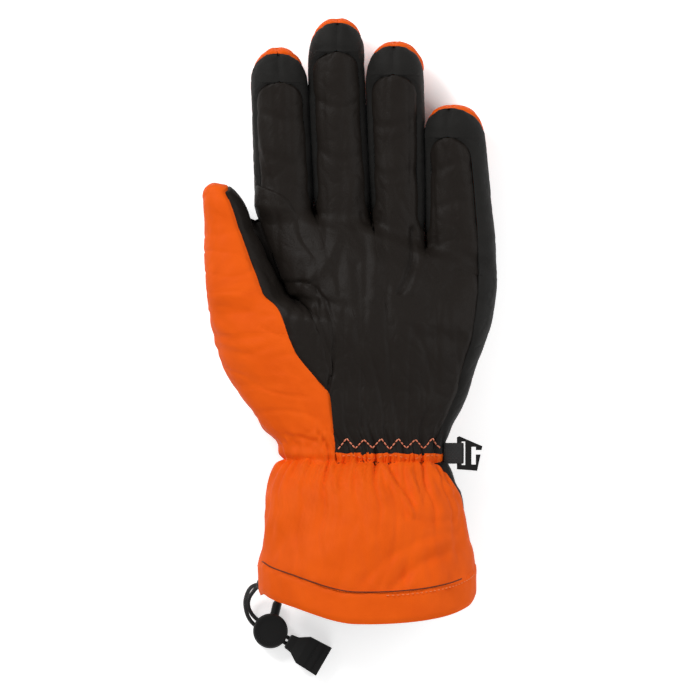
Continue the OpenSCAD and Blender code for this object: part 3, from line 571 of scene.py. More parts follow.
def mesh_from(name, P, N, uv, faces, material):
    """Mesh object from points in mm, their normals and quads; the object stays at the origin."""
    mesh = bpy.data.meshes.new(name)
    mesh.from_pydata((P.reshape(-1, 3) * MM).tolist(), [], faces.tolist())
    mesh.polygons.foreach_set("use_smooth", np.ones(len(faces), bool))
    layer = mesh.uv_layers.new(name="UVMap")
    corner = np.empty(len(mesh.loops), np.int32)
    mesh.loops.foreach_get("vertex_index", corner)
    layer.data.foreach_set("uv", (uv.reshape(-1, 2)[corner] * MM).ravel().astype(np.float32))
    mesh.materials.append(material)
    if N is not None:
        mesh.normals_split_custom_set_from_vertices(N.reshape(-1, 3).tolist())
    ob = bpy.data.objects.new(name, mesh)
    bpy.context.collection.objects.link(ob)
    return ob


def quads(n, m, turn):
    i, j = np.meshgrid(np.arange(n - 1), np.arange(m - 1), indexing="ij")
    a = i * m + j
    q = np.stack([a, a + 1, a + m + 1, a + m], -1).reshape(-1, 4)
    return q if turn > 0 else q[:, ::-1]

# %% Sewing a panel


def sewn(name, material, spot, rows, share, relief, seams=(1, 1, 1, 1), open_rows=(False, False), turn=1,
         seam_fade=None):
    """A panel sampled at spot(row, share); seams weigh the roll at its start, end, left and right.

    Points are P = B + N (relief - SEAM_DEPTH exp(-(d / SEAM_REACH)^2)), d being the distance to a
    seam in mm. open_rows names the ends where the cloth runs on into the next piece.
    """
    rows = np.asarray(rows, float)
    pad_a, pad_b = open_rows
    full = np.concatenate([[2 * rows[0] - rows[1]] if pad_a else [], rows,
                           [2 * rows[-1] - rows[-2]] if pad_b else []])
    R, C = np.meshgrid(full, share, indexing="ij")
    B = spot(R, C)
    N = grid_normals(B, turn)
    across = np.concatenate([np.zeros((len(full), 1)),
                             np.cumsum(np.linalg.norm(np.diff(B, axis=1), axis=-1), axis=1)], 1)
    along = np.concatenate([np.zeros((1, len(share))),
                            np.cumsum(np.linalg.norm(np.diff(B, axis=0), axis=-1), axis=0)], 0)
    near = [along, along[-1:] - along, across, across[:, -1:] - across]
    roll = np.zeros(B.shape[:2])
    for weight, d in zip(seams, near):
        roll = np.maximum(roll, weight * np.exp(-(d / SEAM_REACH) ** 2))
    if seam_fade is not None:
        roll = roll * seam_fade(R)
    P = B + N * (relief(B, R, C) - SEAM_DEPTH * roll)[..., None]
    P[..., 2] = np.maximum(P[..., 2], LOWEST)
    N2 = grid_normals(P, turn)
    uv = np.stack([across - across[:, -1:] / 2, along], -1)
    keep = slice(1 if pad_a else 0, len(full) - (1 if pad_b else 0))
    P, N2, uv = P[keep], N2[keep], uv[keep]
    under = np.pad(P, ((1, 1), (1, 1), (0, 0)), "edge")
    skirt = np.pad(np.zeros(P.shape[:2]), 1, constant_values=HEM_TURN)
    NN = np.pad(N2, ((1, 1), (1, 1), (0, 0)), "edge")
    P = under - NN * skirt[..., None]
    P[..., 2] = np.maximum(P[..., 2], LOWEST)
    uv = np.pad(uv, ((1, 1), (1, 1), (0, 0)), "edge")
    ob = mesh_from(name, P, NN, uv, quads(P.shape[0], P.shape[1], turn), material)
    print(f"{name}: {len(ob.data.vertices)} points")
    return ob


# %% [markdown]
# ## Where the seams run
#
# Fingers are cut like a real ski glove: a palm strip, a back strip that folds over the
# tip, and a side strip (a fourchette) on each side. The side strips start at a point in
# the crotch and open to their full width over the first twelve millimetres. Near the tip
# the palm leather rounds off, the side strips meet in a short centre seam, and the orange
# back laps over the very end.

# %% Seam lines
PALM_SEAM = np.array([115, 28, 28, 28, 28])
ULNAR_SEAM = np.array([225, 152, 152, 143, 122])
HAND_CUT, THUMB_CUT = 0.9, 0.5
TIP_SPREAD = [[-24, 40], [-13, 90], [-7, 106], [-3.6, 130], [-2.2, 180]]


def opening(s, reach=12.0):
    """How far a seam has opened at s, sin(pi/2 s/reach): 0 at the crotch, 1 from reach on."""
    return np.sin(np.clip(s / reach, 0, 1) * np.pi / 2)


def leather(i, s):
    """Width left of the rounded end of the palm strip, sqrt(1 - u^2), and none beyond its end."""
    end = DIGIT_LEN[i] - TIP_WRAP
    u = np.clip((s - end) / LEATHER_ROUND + 1, 0, 0.955)
    return np.where(s > end + 0.02, 0, np.sqrt(1 - u * u))


def seam_angles(i, s):
    """The four seams of a finger at s: back to side, side to palm, palm to side, side to back."""
    t = opening(s)
    low = 28 * t
    high = mix(119.0, ULNAR_SEAM[i], t) if i == LITTLE else 180 - (180 - ULNAR_SEAM[i]) * t
    middle = (PALM_SEAM[i] + ULNAR_SEAM[i]) / 2
    n = leather(i, s)
    b = np.interp(s - DIGIT_LEN[i], *np.array(TIP_SPREAD).T)
    wave = 1 + 0.03 * np.sin(s * 1.9 + i)
    left = -90 + np.where(b > 40, 40 + (b - 40) * (middle + 50) / 140, b)
    right = 270 - np.where(b > 40, 40 + (b - 40) * (230 - middle) / 140, b)
    left = np.minimum(left * np.where(b > 95, wave, 1), middle)
    right = np.maximum(right, middle)
    start_l = {INDEX: -72}.get(i, 0)
    start_r = {LITTLE: 270}.get(i, 180.02)
    return (mix(start_l, left, t), middle - (middle - low) * n, middle + (high - middle) * n,
            mix(start_r, right, t))


def digit_rows(i, start, end, step=1.0):
    """Row positions: even along the digit, then closing up over the rounded tip."""
    body = DIGIT_LEN[i] - DOME
    straight = np.linspace(start, body, max(2, int((body - start) / step)))
    tip = body + DOME * np.sin(np.linspace(0, np.pi / 2, 26))[1:]
    wrap = DIGIT_LEN[i] - TIP_WRAP
    rows = np.sort(np.concatenate([straight, tip, [wrap - 0.05, wrap + 0.05]]))
    return np.append(rows[rows < end - 0.05], end)


def thenar_at(v):
    """Column of the seam between the orange thumb base and the leather."""
    return curve(THENAR_SEAM, v)


print("index seams at 20 mm:", [round(float(a), 1) for a in seam_angles(INDEX, np.array(20.0))])


# %% [markdown]
# ## Folds and creases
#
# Leather keeps the marks of a hand: long soft folds along the palm, a cross crease at the
# root of the ring finger and dents at the joints. The elastic at the wrist gathers cloth
# that was cut wider, so folds fan out from it both ways. Each is a function of place
# alone, so that two panels agree where they meet.

# %% Gathers


def gathers(P):
    """Fan of folds round the elastic, A exp(-|y - y0| / L) (0.45 F(u) - 0.7), u being the share across.

    F adds ridged waves, each 1 - 2 exp(-(sin(pi n u + shift) / 0.42)^2): rounded crests, sharp valleys.
    """
    y = P[..., 1]
    v, w = np.clip((y - WRIST_Y) / HAND_LEN, 0, 0.5), np.clip((WRIST_Y - y) / CUFF_LEN, 0, 1)
    upper = y > WRIST_Y
    half = np.where(upper, (right_x(v) - left_x(v)) / 2, cuff_half(w))
    middle = np.where(upper, (right_x(v) + left_x(v)) / 2, mix(WRIST_X, CUFF_X, w))
    u = (P[..., 0] - middle) / half + 0.02 * np.sin(y * 0.23)
    folds = np.zeros(u.shape)
    for turns, shift, weight in ((5.3, 0.8, 0.9), (8.7, 2.2, 0.75), (12.3, 0.3, 0.55), (19.1, 1.1, 0.25)):
        folds += weight * (1 - 2 * np.exp(-(np.sin(np.pi * turns * u + shift) / 0.42) ** 2))
    size = 1.9 * np.exp(-np.abs(y - WRIST_Y) / np.where(upper, 13.0, 21.0))
    channel = -0.9 * np.exp(-((y + 64.5) / 1.7) ** 2) - 0.8 * np.exp(-((y + 56.6) / 3.4) ** 2)
    return size * (0.45 * folds - 0.7) + channel


def cuff_half(w):
    return curve([[0, WRIST_W / 2], [0.3, mix(WRIST_W, CUFF_W, 0.55) / 2], [1, CUFF_W / 2]], w)


# %% Listed creases
PALM_LINES = [
    (1.7, 1.3, [(16.7, 50), (16.4, 35), (13.5, 26), (10, 19)]),
    (-0.7, 3.0, [(21, 48), (21, 34), (16, 20)]),
    (1.15, 0.85, [(-41, 24), (-37, 23.6), (-32.6, 21.0), (-27, 14), (-24, 4), (-22.9, -6.9),
                  (-24, -20), (-26, -30)]),
    (0.7, 2.4, [(-41, 16), (-48, -3)]),
    (0.6, 1.8, [(-33, 24), (-30, 2), (-24, -22)]),
    (0.55, 2.0, [(-12, 33), (-10, 5), (-14, -25)]),
    (0.5, 1.7, [(4, 12), (6, -12), (2, -36)]),
    (0.5, 2.2, [(24, 30), (27, 5), (22, -30)]),
    (0.45, 1.6, [(-22, 40), (-20, 18)]),
    (0.4, 1.5, [(33, 22), (35, -8)]),
    (-0.9, 3.2, [(-38, 20), (-25, 36), (-16, 56), (-13, 74)]),
    (-0.8, 2.8, [(-3, 16), (-2, 34), (-3, 50)]),
    (0.7, 1.0, [(-9, 58), (-8, 54), (-4.5, 52.5), (-1.5, 54), (-0.5, 58)]),
    (0.6, 1.0, [(18.5, 46), (20, 41.5), (23, 40.5), (26, 42), (27, 46)]),
]
SHELL_LINES = [
    (0.55, 2.2, [(-87, -1), (-74, -5), (-60, -3)]),
    (0.45, 1.8, [(-84, -10), (-70, -13), (-56, -9)]),
    (0.5, 2.0, [(-80, 12), (-66, 9)]),
    (0.55, 0.8, [(-86, 8.5), (-80.1, -13.8), (-71, -31.4), (-60, -48)]),
    (0.4, 2.5, [(-70, -28), (-52, -26)]),
]
CUFF_LINES = [
    (0.8, 2.6, [(-30, -70), (-42, -96), (-46, -122)]),
    (0.7, 2.4, [(-12, -70), (-14, -98), (-20, -128)]),
    (0.8, 2.8, [(8, -70), (14, -95), (13, -122)]),
    (0.6, 2.2, [(20, -72), (30, -100), (36, -126)]),
    (-1.1, 1.5, [(-13, -64), (-11, -70), (-8, -77)]),
    (-1.4, 1.3, [(1, -66), (5, -73), (11, -81), (16, -92)]),
    (1.0, 1.8, [(5, -66), (10, -75), (17, -86)]),
    (-1.2, 1.3, [(12, -65), (15, -72), (18, -79)]),
    (-1.2, 1.5, [(24, -66), (28, -72), (36, -80)]),
    (-1.0, 1.4, [(-25, -66), (-23, -72), (-22, -79)]),
    (-0.9, 1.5, [(-36, -65), (-37, -71), (-40, -77)]),
    (1.0, 3.0, [(-8, -124), (6, -112), (22, -104), (38, -100)]),
    (0.9, 2.6, [(6, -128), (20, -116), (40, -108)]),
    (-0.8, 4.0, [(0, -122), (14, -110), (34, -103)]),
    (0.7, 2.2, [(14, -92), (26, -96), (40, -93)]),
]
print("creases:", len(PALM_LINES) + len(SHELL_LINES) + len(CUFF_LINES))

# %% Relief of each cloth


def worn_leather(P):
    """Creases and fine wrinkles of the leather, the same on the palm and the fingers."""
    return (creases(P, PALM_LINES) + wrinkles(P, 3, 17, 0.5, (1, 0.22, 0.6), 0.3)
            + wrinkles(P, 8, 6.5, 0.2, (1, 0.45, 1), 0.28) + 0.4 * waves(P, 5, 26))


def leather_relief(P, R, C):
    return gathers(P) + worn_leather(P)


def nylon_relief(P, R, C):
    return (gathers(P) + creases(P, SHELL_LINES) + wrinkles(P, 21, 15, 0.4, (0.5, 1, 0.6), 0.35)
            + 0.5 * waves(P, 22, 24) + 0.05 * waves(P, 24, 4))


def knit_relief(P, R, C):
    return gathers(P) + wrinkles(P, 31, 8, 0.22, (0.6, 1, 1), 0.3) + 0.15 * waves(P, 32, 18)


def side_relief(P, R, C):
    """The padded side strips swell a little towards the next finger."""
    return knit_relief(P, R, C) + 0.45 * np.sin(np.pi * C) * ease(R / 10)


def cuff_relief(P, R, C):
    tucked = 0.8 * ease((P[..., 1] - WRIST_Y + 1.2) / 2.6)
    return (gathers(P) - tucked + creases(P, CUFF_LINES) + wrinkles(P, 41, 22, 0.7, (1, 0.35, 0.6), 0.4)
            + 0.9 * waves(P, 42, 38) + 0.15 * waves(P, 44, 9))


def joints_relief(i):
    """Finger leather: soft cross dents at the two joints over the general leather relief."""
    def relief(P, R, C):
        out = worn_leather(P)
        for at, deep in ((0.3, 0.35), (0.56, 0.45)):
            out = out - deep * np.exp(-((R - at * DIGIT_LEN[i] - 2.5 * np.sin(C * 5 + i)) / 2.4) ** 2)
        return out
    return relief


# %% [markdown]
# ## The hand panels
#
# The palm leather is the widest piece. Beside it lie the orange thenar panel that wraps
# the base of the thumb, the leather gusset between them, the stretch panel on the little
# finger's side and the orange back that the glove rests on.

# %% Hand panels
WRIST_RUN, BAND_TOP = -0.018, 0.034
BACK_EDGE, SIDE_EDGE, SIDE_END, GUSSET_START = 5.5, 8.6, 9.0, 0.24
HAND_ROWS = np.linspace(WRIST_RUN, HAND_CUT, 122)
LOW_ROWS = np.linspace(WRIST_RUN, THUMB_CUT, 68)
made = {}


def at(place):
    """A seam that keeps to one column or angle."""
    return lambda v: place + 0 * v


def side_seam(v):
    """Seam between the back and the leather of the index side, which opens above the thumb."""
    return mix(SIDE_END, SIDE_EDGE, ease((v - THUMB_AT) / 0.06))


def between(lo, hi):
    """spot(v, share) for a hand panel whose columns run from lo(v) to hi(v)."""
    return lambda v, f: hand(v, mix(lo(v), hi(v), f))


def columns(*parts):
    """Shares from a list of (count, start, end) runs; the runs join without a repeat."""
    out = [np.linspace(a, b, n + 1)[(0 if k == 0 else 1):] for k, (n, a, b) in enumerate(parts)]
    values = np.concatenate(out)
    return (values - values[0]) / (values[-1] - values[0])


made["palm"] = sewn("palm_leather_panel", LEATHER, between(at(1.0), at(PALM_EDGE)), HAND_ROWS,
                    columns((34, 1, 2), (30, 2, 3), (30, 3, 4), (22, 4, PALM_EDGE)), leather_relief,
                    (0, 0, 0.25, 1), RUNS_UP)
made["ulnar"] = sewn("little_side_stretch_panel", SHELL, between(at(PALM_EDGE), at(BACK_EDGE)), HAND_ROWS,
                     columns((14, PALM_EDGE, 5), (18, 5, BACK_EDGE)), knit_relief, BOTH_SIDES, RUNS_UP)
made["back"] = sewn("back_of_hand_panel", ORANGE, between(at(BACK_EDGE), side_seam), HAND_ROWS,
                    columns((70, BACK_EDGE, SIDE_EDGE)), nylon_relief, BOTH_SIDES, RUNS_UP)
made["radial"] = sewn("index_side_leather", LEATHER, between(side_seam, at(SIDE_END)),
                      np.linspace(THUMB_AT, HAND_CUT, 34), columns((14, SIDE_EDGE, SIDE_END)),
                      leather_relief, BOTH_SIDES, RUNS_UP)
made["thenar"] = sewn("thumb_base_panel", ORANGE, between(at(-1.0), thenar_at), LOW_ROWS,
                      columns((50, -1, 1)), nylon_relief, BOTH_SIDES, RUNS_UP)
made["gusset"] = sewn("thumb_gusset_panel", LEATHER, between(thenar_at, at(0.9999)),
                      np.linspace(GUSSET_START, THUMB_CUT, 36), columns((16, 0.6, 1)), leather_relief,
                      (0, 0, 1, 0.25), RUNS_UP)

# %% [markdown]
# ## The wrist band
#
# The leather stops just above the elastic. From there down an orange band is gathered
# over it, wide enough to slip over a jacket's cuff once the cord is loose.

# %% Wrist band


def band_relief(P, R, C):
    proud = 0.6 * ease((R + 0.012) / 0.02) - 0.7 * ease(-(R + 0.008) / 0.010)
    return gathers(P) + proud + 0.22 * np.sin(C * 170 + 2 * np.sin(C * 31)) * (1 - np.abs(R) / BAND_TOP)


def band_spot(v, f):
    top = 0.031 + 0.0022 * np.sin(f * 44) + 0.001 * np.sin(f * 97)
    return hand(np.where(v > 0, v / BAND_TOP * top, v), mix(1.0, 4.95, f))


made["band"] = sewn("wrist_gather_band", ORANGE, band_spot, np.linspace(-0.019, BAND_TOP, 13),
                    even(221), band_relief, (0.4, 0.6, 0, 0))

# %% [markdown]
# ## The fingers
#
# Each finger strip crosses the knuckle: it starts a little below the root, where it only
# follows the hand, and ends on the finger, so the cloth runs over the knuckle in one piece.

# %% Strips of a finger


def on_digit(ob):
    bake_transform(ob)
    return ob


def strip(i, a, b):
    """spot(s, share) of a strip between seams a and b of finger i."""
    def spot(s, f):
        seams = seam_angles(i, s)
        return digit(i, s, mix(seams[a], seams[b], f))
    return spot


def back_strip(i):
    def spot(s, f):
        left, _, _, right = seam_angles(i, s)
        return digit(i, s, mix(right, left + 359.98, f))
    return spot


def cut_at(i):
    return -(1 - HAND_CUT) * (BASE_Y[i] - WRIST_Y)


def from_root(s):
    return ease((s - 0.5) / 7)

# %% The four fingers
for i in (INDEX, MIDDLE, RING, LITTLE):
    name, L, c = NAMES[i], DIGIT_LEN[i], cut_at(i)
    pieces = {
        "palm": sewn(f"{name}_palm_leather", LEATHER, strip(i, 1, 2), digit_rows(i, c, L - TIP_WRAP),
                     even(29 if i < LITTLE else 25), joints_relief(i), (0, 0.4, 1, 1),
                     RUNS_DOWN, seam_fade=from_root),
        "radial": sewn(f"{name}_thumb_side_strip", SHELL, strip(i, 0, 1),
                       digit_rows(i, c if i == INDEX else 0.0, L - 2.2), even(21), side_relief,
                       BOTH_SIDES, (i == INDEX, False), seam_fade=from_root),
        "ulnar": sewn(f"{name}_far_side_strip", SHELL, strip(i, 2, 3),
                      digit_rows(i, c if i == LITTLE else 0.0, L - 2.2), even(21), side_relief,
                      BOTH_SIDES, (i == LITTLE, False), seam_fade=from_root),
        "back": sewn(f"{name}_back_strip", ORANGE, back_strip(i), digit_rows(i, c, L), even(49),
                     nylon_relief, BOTH_SIDES, RUNS_DOWN, seam_fade=from_root),
    }
    for key, ob in pieces.items():
        on_digit(ob)
        made[f"{name}_{key}"] = ob

# %% [markdown]
# ## The thumb
#
# The thumb is turned a quarter so that it can meet the fingers: its orange panel faces
# outward, its leather faces the palm and a narrow stretch wedge closes the far side.

# %% Thumb panels


def thumb_angles(s):
    t = opening(s, 14)
    v = THUMB_AT + np.minimum(s, 0) / HAND_LEN
    edge = np.where(s < 0, 180 * thenar_at(v), 115.2)
    c = np.sqrt(np.clip((DIGIT_LEN[THUMB] - 1.4 - s) / 2.6, 0, 1))
    close = lambda a: mix(207.5, a, c)
    return close(edge), close(179.98 + 45 * t), close(180.02 + 120 * t)


def thumb_outer(s, f):
    edge, _, far = thumb_angles(s)
    return digit(THUMB, s, mix(far - 360, edge, f))


def thumb_strip(a, b):
    def spot(s, f):
        seams = thumb_angles(s)
        return digit(THUMB, s, mix(seams[a], seams[b], f))
    return spot


thumb_start = (THUMB_CUT - THUMB_AT) * HAND_LEN
L = DIGIT_LEN[THUMB]
made["thumb_outer"] = sewn("thumb_outer_nylon", ORANGE, thumb_outer, digit_rows(THUMB, thumb_start, L),
                           even(61), nylon_relief, BOTH_SIDES, RUNS_DOWN)
made["thumb_inner"] = sewn("thumb_inner_leather", LEATHER, thumb_strip(0, 1),
                           digit_rows(THUMB, thumb_start, L - 1.4), even(31),
                           joints_relief(THUMB), BOTH_SIDES, RUNS_DOWN)
made["thumb_wedge"] = sewn("thumb_stretch_wedge", SHELL, thumb_strip(1, 2), digit_rows(THUMB, 0.0, L - 1.4),
                           even(21), knit_relief, BOTH_SIDES)
for key in ("thumb_outer", "thumb_inner", "thumb_wedge"):
    on_digit(made[key])

# %% [markdown]
# ## Index base patch
#
# A second layer of leather is sewn over the base of the index finger, where a ski pole's
# strap rubs. It crosses the knuckle, so it is made as two parts, one on the hand and one
# on the finger, that meet at the knuckle.

# %% Index patch


def patch_low(v, f):
    edge = np.interp(v, [0.7, 0.72, 0.75, 0.8, 0.86, 0.9], [1.52, 1.62, 1.67, 1.69, 1.6, 1.585])
    return hand(v, mix(1.02, edge, f))


def patch_high(s, f):
    edge = np.interp(s, [-12.7, -7, -2, 3, 6.5, 8.8, 10, 10.6], [105.3, 109, 113, 104, 86, 62, 40, 12])
    return digit(INDEX, s, mix(3.6, edge, f))


def patch_relief(P, R, C):
    return 0.9 + leather_relief(P, R, C)


made["patch_low"] = sewn("index_patch_lower", LEATHER, patch_low, np.linspace(0.7, HAND_CUT, 32),
                         even(27), patch_relief, (1, 0, 1, 1), RUNS_UP)
made["patch_high"] = sewn("index_patch_upper", LEATHER, patch_high, np.linspace(cut_at(INDEX), 10.6, 32),
                          even(27), patch_relief, (0, 1, 1, 1), RUNS_DOWN)
on_digit(made["patch_high"])

# %% [markdown]
# ## Wrist and cuff
#
# The cuff is a wide funnel: orange on the palm side, black stretch cloth behind, joined by
# a seam that slants back over the little finger's side. A folded band finishes its hem.

# %% Section of the cuff


def cuff_rise(w):
    return curve([[0, WRIST_H], [0.3, mix(WRIST_H, CUFF_H, 0.6)], [1, CUFF_H]], w)


def cuff(w, a, y, out=0.0):
    """Point of the cuff: a flattened ring, half width W(w) and half height H(w), at height y."""
    ca, sa = np.cos(np.radians(a)), np.sin(np.radians(a))
    z0 = curve([[0, float(hand_z(np.array(0.0)))], [0.3, mix(WRIST_H, CUFF_H, 0.6) + 1.6],
                [1, CUFF_H + CUFF_LIFT]], w)
    return np.stack([mix(WRIST_X, CUFF_X, w) - (cuff_half(w) + out) * ca, y + 0 * a,
                     np.maximum(z0 + (cuff_rise(w) + out) * np.sign(sa) * arch(ca, CUFF_ROUND), LOWEST)], -1)

# %% Cuff panels


def hem_line(a):
    """Height of the hem at angle a: it hangs lowest over the palm, less so on the thumb side."""
    s, c = np.sin(np.radians(a)), np.cos(np.radians(a))
    lift = 5.5 * ease((c - 0.1) / 0.7) * ease(s * 3)
    return WRIST_Y - CUFF_LEN - HEM_DROP * np.where(s > 0, np.maximum(s, 0) ** 0.8, -0.25 * s) + lift


CUFF_START, TUCK_UNDER = -14, 2.5


def cuff_seam(w):
    return np.minimum(190, 153 + 62 * w)


def cuff_strip(lo, hi):
    def spot(w, f):
        a = mix(lo(w), hi(w), f)
        return cuff(w, a, mix(WRIST_Y + TUCK_UNDER, hem_line(a) + HEM_W, w))
    return spot


made["cuff_palm"] = sewn("cuff_palm_panel", ORANGE, cuff_strip(at(CUFF_START), cuff_seam),
                         even(60), even(121), cuff_relief, BOTH_SIDES, turn=-1)
made["cuff_back"] = sewn("cuff_back_panel", SHELL, cuff_strip(cuff_seam, at(CUFF_START + 360)),
                         even(60), even(101), cuff_relief, BOTH_SIDES, turn=-1)

# %% Hem band
BAND_W = HEM_W + 2.5


def hem_spot(u, f):
    a = 360 * f
    return cuff(np.ones_like(a), a, hem_line(a) + BAND_W * (1 - u), 0.35)


def hem_relief(P, R, C):
    pucker = np.sin(C * 2 * np.pi * 41 + 1.3 * np.sin(C * 40)) * np.exp(-R * 3)
    return 0.22 * pucker + 0.3 * waves(P, 52, 30) + 0.08 * waves(P, 53, 8)


made["hem"] = sewn("hem_band", ORANGE, hem_spot, even(18), even(241), hem_relief,
                   (1.3, 0.9, 0, 0), turn=-1)
for key in ("palm", "band", "ulnar", "back", "radial", "thenar", "gusset", "patch_low", "cuff_palm",
            "cuff_back", "hem"):
    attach(made[key], "hand")
print("sewn panels:", len(made))

# %% [markdown]
# ## Between the digits
#
# Between two digits the palm leather turns down and in. A narrow folded strip closes the
# bottom of each crotch, as the folded edge of the side strips does on a real glove.

# %% Folds between the digits


def swept(name, path, half_a, half_b, power, material, sides=24):
    """Closed rod along a path: section (A cos, B sin) raised to a superellipse of that power."""
    path = np.asarray(path, float)
    t = unit(np.gradient(path, axis=0))
    a = unit(np.cross(np.broadcast_to((0.0, 0.0, 1.0), t.shape), t))
    b = np.cross(t, a)
    phi = np.linspace(0, 2 * np.pi, sides + 1)
    c, s = np.cos(phi), np.sin(phi)
    u, w = np.sign(c) * np.abs(c) ** (2 / power), np.sign(s) * np.abs(s) ** (2 / power)
    P = path[:, None] + half_a * u[None, :, None] * a[:, None] + half_b * w[None, :, None] * b[:, None]
    P = np.concatenate([path[:1, None] + 0 * P[:1], P, path[-1:, None] + 0 * P[-1:]])
    run = np.concatenate([[0, 0], np.cumsum(np.linalg.norm(np.diff(path, axis=0), axis=1))])
    run = np.append(run, run[-1])
    uv = np.stack(np.broadcast_arrays(((half_a + half_b) * phi)[None], run[:, None]), -1)
    return mesh_from(name, P, None, uv, quads(P.shape[0], P.shape[1], 1), material)


FOLD_DEPTH = 1.7


def crotch(k, v0, v1):
    """Path along the column line k, FOLD_DEPTH under the surface on both sides of it."""
    v = np.linspace(v0, v1, 24)
    a, b = hand(v, np.full(24, k + 0.0001)), hand(v, np.full(24, k - 0.0001))
    return (a + b) / 2 - [0, 0, FOLD_DEPTH]


webs = [swept(f"crotch_fold_{k}", crotch(k, 0.86, 1.0), 1.5, 0.9, 3, LEATHER)
        for k in (2, 3, 4)]
webs.append(swept("thumb_crotch_fold", crotch(1, 0.34, THUMB_AT), 1.6, 0.9, 3, LEATHER))
for ob in webs:
    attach(ob, "hand")
print("crotch folds:", len(webs))

# %% [markdown]
# ## The fork of the thumb
#
# A web of leather closes the fork between the thumb and the index finger. It could be a
# part of the palm, but on a real glove it has to stretch when the thumb moves, so here it
# is a sheet of its own, drawn between an edge beside the thumb and an edge beside the index finger.

# %% Web of the thumb
WEB_RISE = [20.0, 34.5, 43.0, 52.5, 57.0]
WEB_THUMB_EDGE = [-52.5, -58.5, -62.3, -66.0, -67.5]
WEB_INDEX_EDGE = [-45.0, -50.5, -53.5, -56.0, -57.5]
WEB_HALF, WEB_DIP, WEB_WAIST = 3.6, 3.5, 0.35


def thumb_web():
    """Web between two edges A(s) and B(s), s running up the fork and t from thumb to index.

    x = (1 - t) A + t B, y = rise(s) - WEB_DIP s sin(pi t), and the half thickness is
    WEB_HALF sqrt(1 - s^4) (1 - WEB_WAIST sin(pi t)). The lower face mirrors the upper one.
    """
    s, t = even(40), even(24)
    left, right, along = (np.interp(s, even(5), row) for row in (WEB_THUMB_EDGE, WEB_INDEX_EDGE, WEB_RISE))
    S, T = np.meshgrid(s, t, indexing="ij")
    x = mix(left[:, None], right[:, None], T)
    y = along[:, None] - WEB_DIP * np.sin(np.pi * T) * S
    half = WEB_HALF * np.sqrt(np.maximum(1 - S ** 4, 0)) * (1 - WEB_WAIST * np.sin(np.pi * T))
    middle = mix(17.0, 15.0, T) + 0.6 * np.sin(9 * S + 3 * T)
    upper = np.stack([x, y, middle + half], -1)
    lower = np.stack([x, y, middle - half], -1)
    P = np.concatenate([upper, lower[:, ::-1]], 1)
    ends = P.mean(1, keepdims=True).repeat(P.shape[1], 1)
    P = np.concatenate([ends[:1], P, ends[-1:]])
    P = np.concatenate([P, P[:, :1]], 1)
    round_, up = np.linspace(0, 20, P.shape[1]), np.linspace(0, 35, len(P))
    uv = np.stack(np.broadcast_arrays(round_[None], up[:, None]), -1)
    return mesh_from("thumb_web", P, None, uv, quads(P.shape[0], P.shape[1], 1), LEATHER)


web = thumb_web()
print("thumb web:", len(web.data.vertices), "points")
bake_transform(web)

# %% [markdown]
# ## Linings and the hidden elastic
#
# Fleece lines the hand and the cuff. It is seen through the cuff's opening and follows
# the same folds as the cloth outside it. The elastic that gathers the wrist is sewn
# between the two.

# %% Linings and elastic


def inner(depth):
    """Relief of a layer that lies depth mm under the cloth outside it."""
    def relief(P, R, C):
        return gathers(P) - depth + 0.25 * waves(P, 61, 7) + 0.12 * waves(P, 62, 3)
    return relief


def cuff_ring(w, f):
    a = 360 * f
    return cuff(w, a, mix(WRIST_Y, hem_line(a) + 2.5, w))


made_inside = {
    "hand_fleece": sewn("hand_fleece_lining", FLEECE, lambda v, f: hand(v, np.minimum(10 * f, 9.9999)),
                        np.linspace(0.02, 0.52, 40), even(141), inner(3.6), (0, 0, 0, 0)),
    "cuff_fleece": sewn("cuff_fleece_lining", FLEECE, cuff_ring, even(60), even(181), inner(3.0),
                        (0, 1, 0, 0), turn=-1),
    "elastic": sewn("wrist_elastic_band", ELASTIC, lambda v, f: hand(v, np.minimum(10 * f, 9.9999)),
                    np.linspace(0.004, 0.028, 8), even(181), inner(2.6), (0.5, 0.5, 0, 0)),
}
for ob in made_inside.values():
    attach(ob, "hand")

# %% [markdown]
# ## Thread
#
# Every stitch is a short capsule of thread that dives into the cloth at both ends. With t
# running along it, its centre is lifted by 4t(1-t) and its radius shrinks at the ends.

# %% Points and stitches


def palm_at(x, y, lift=0.0):
    """Point and normal of the leather over (x, y), found by undoing the column spacing."""
    x, y = np.asarray(x, float), np.asarray(y, float)
    v = (y - WRIST_Y) / (root_y(x) - WRIST_Y)
    edges = np.stack([column_x(v, np.full(v.shape, k)) for k in range(1, 6)], -1)
    k = np.clip((x[..., None] >= edges).sum(-1), 1, 4)
    lo, hi = (np.take_along_axis(edges, j[..., None], -1)[..., 0] for j in (k - 1, k))
    f = np.arccos(np.clip(((lo + hi) / 2 - x) / ((hi - lo) / 2), -1, 1)) / np.pi
    P = hand(v, k + f)
    dx = hand(v, np.minimum(k + f + 0.01, 4.99)) - P
    dy = hand(v + 0.4 / HAND_LEN, k + f) - P
    N = unit(np.cross(dx, dy))
    N = np.where(N[..., 2:] < 0, -N, N)
    return P + N * (leather_relief(P, None, None) + lift)[..., None], N


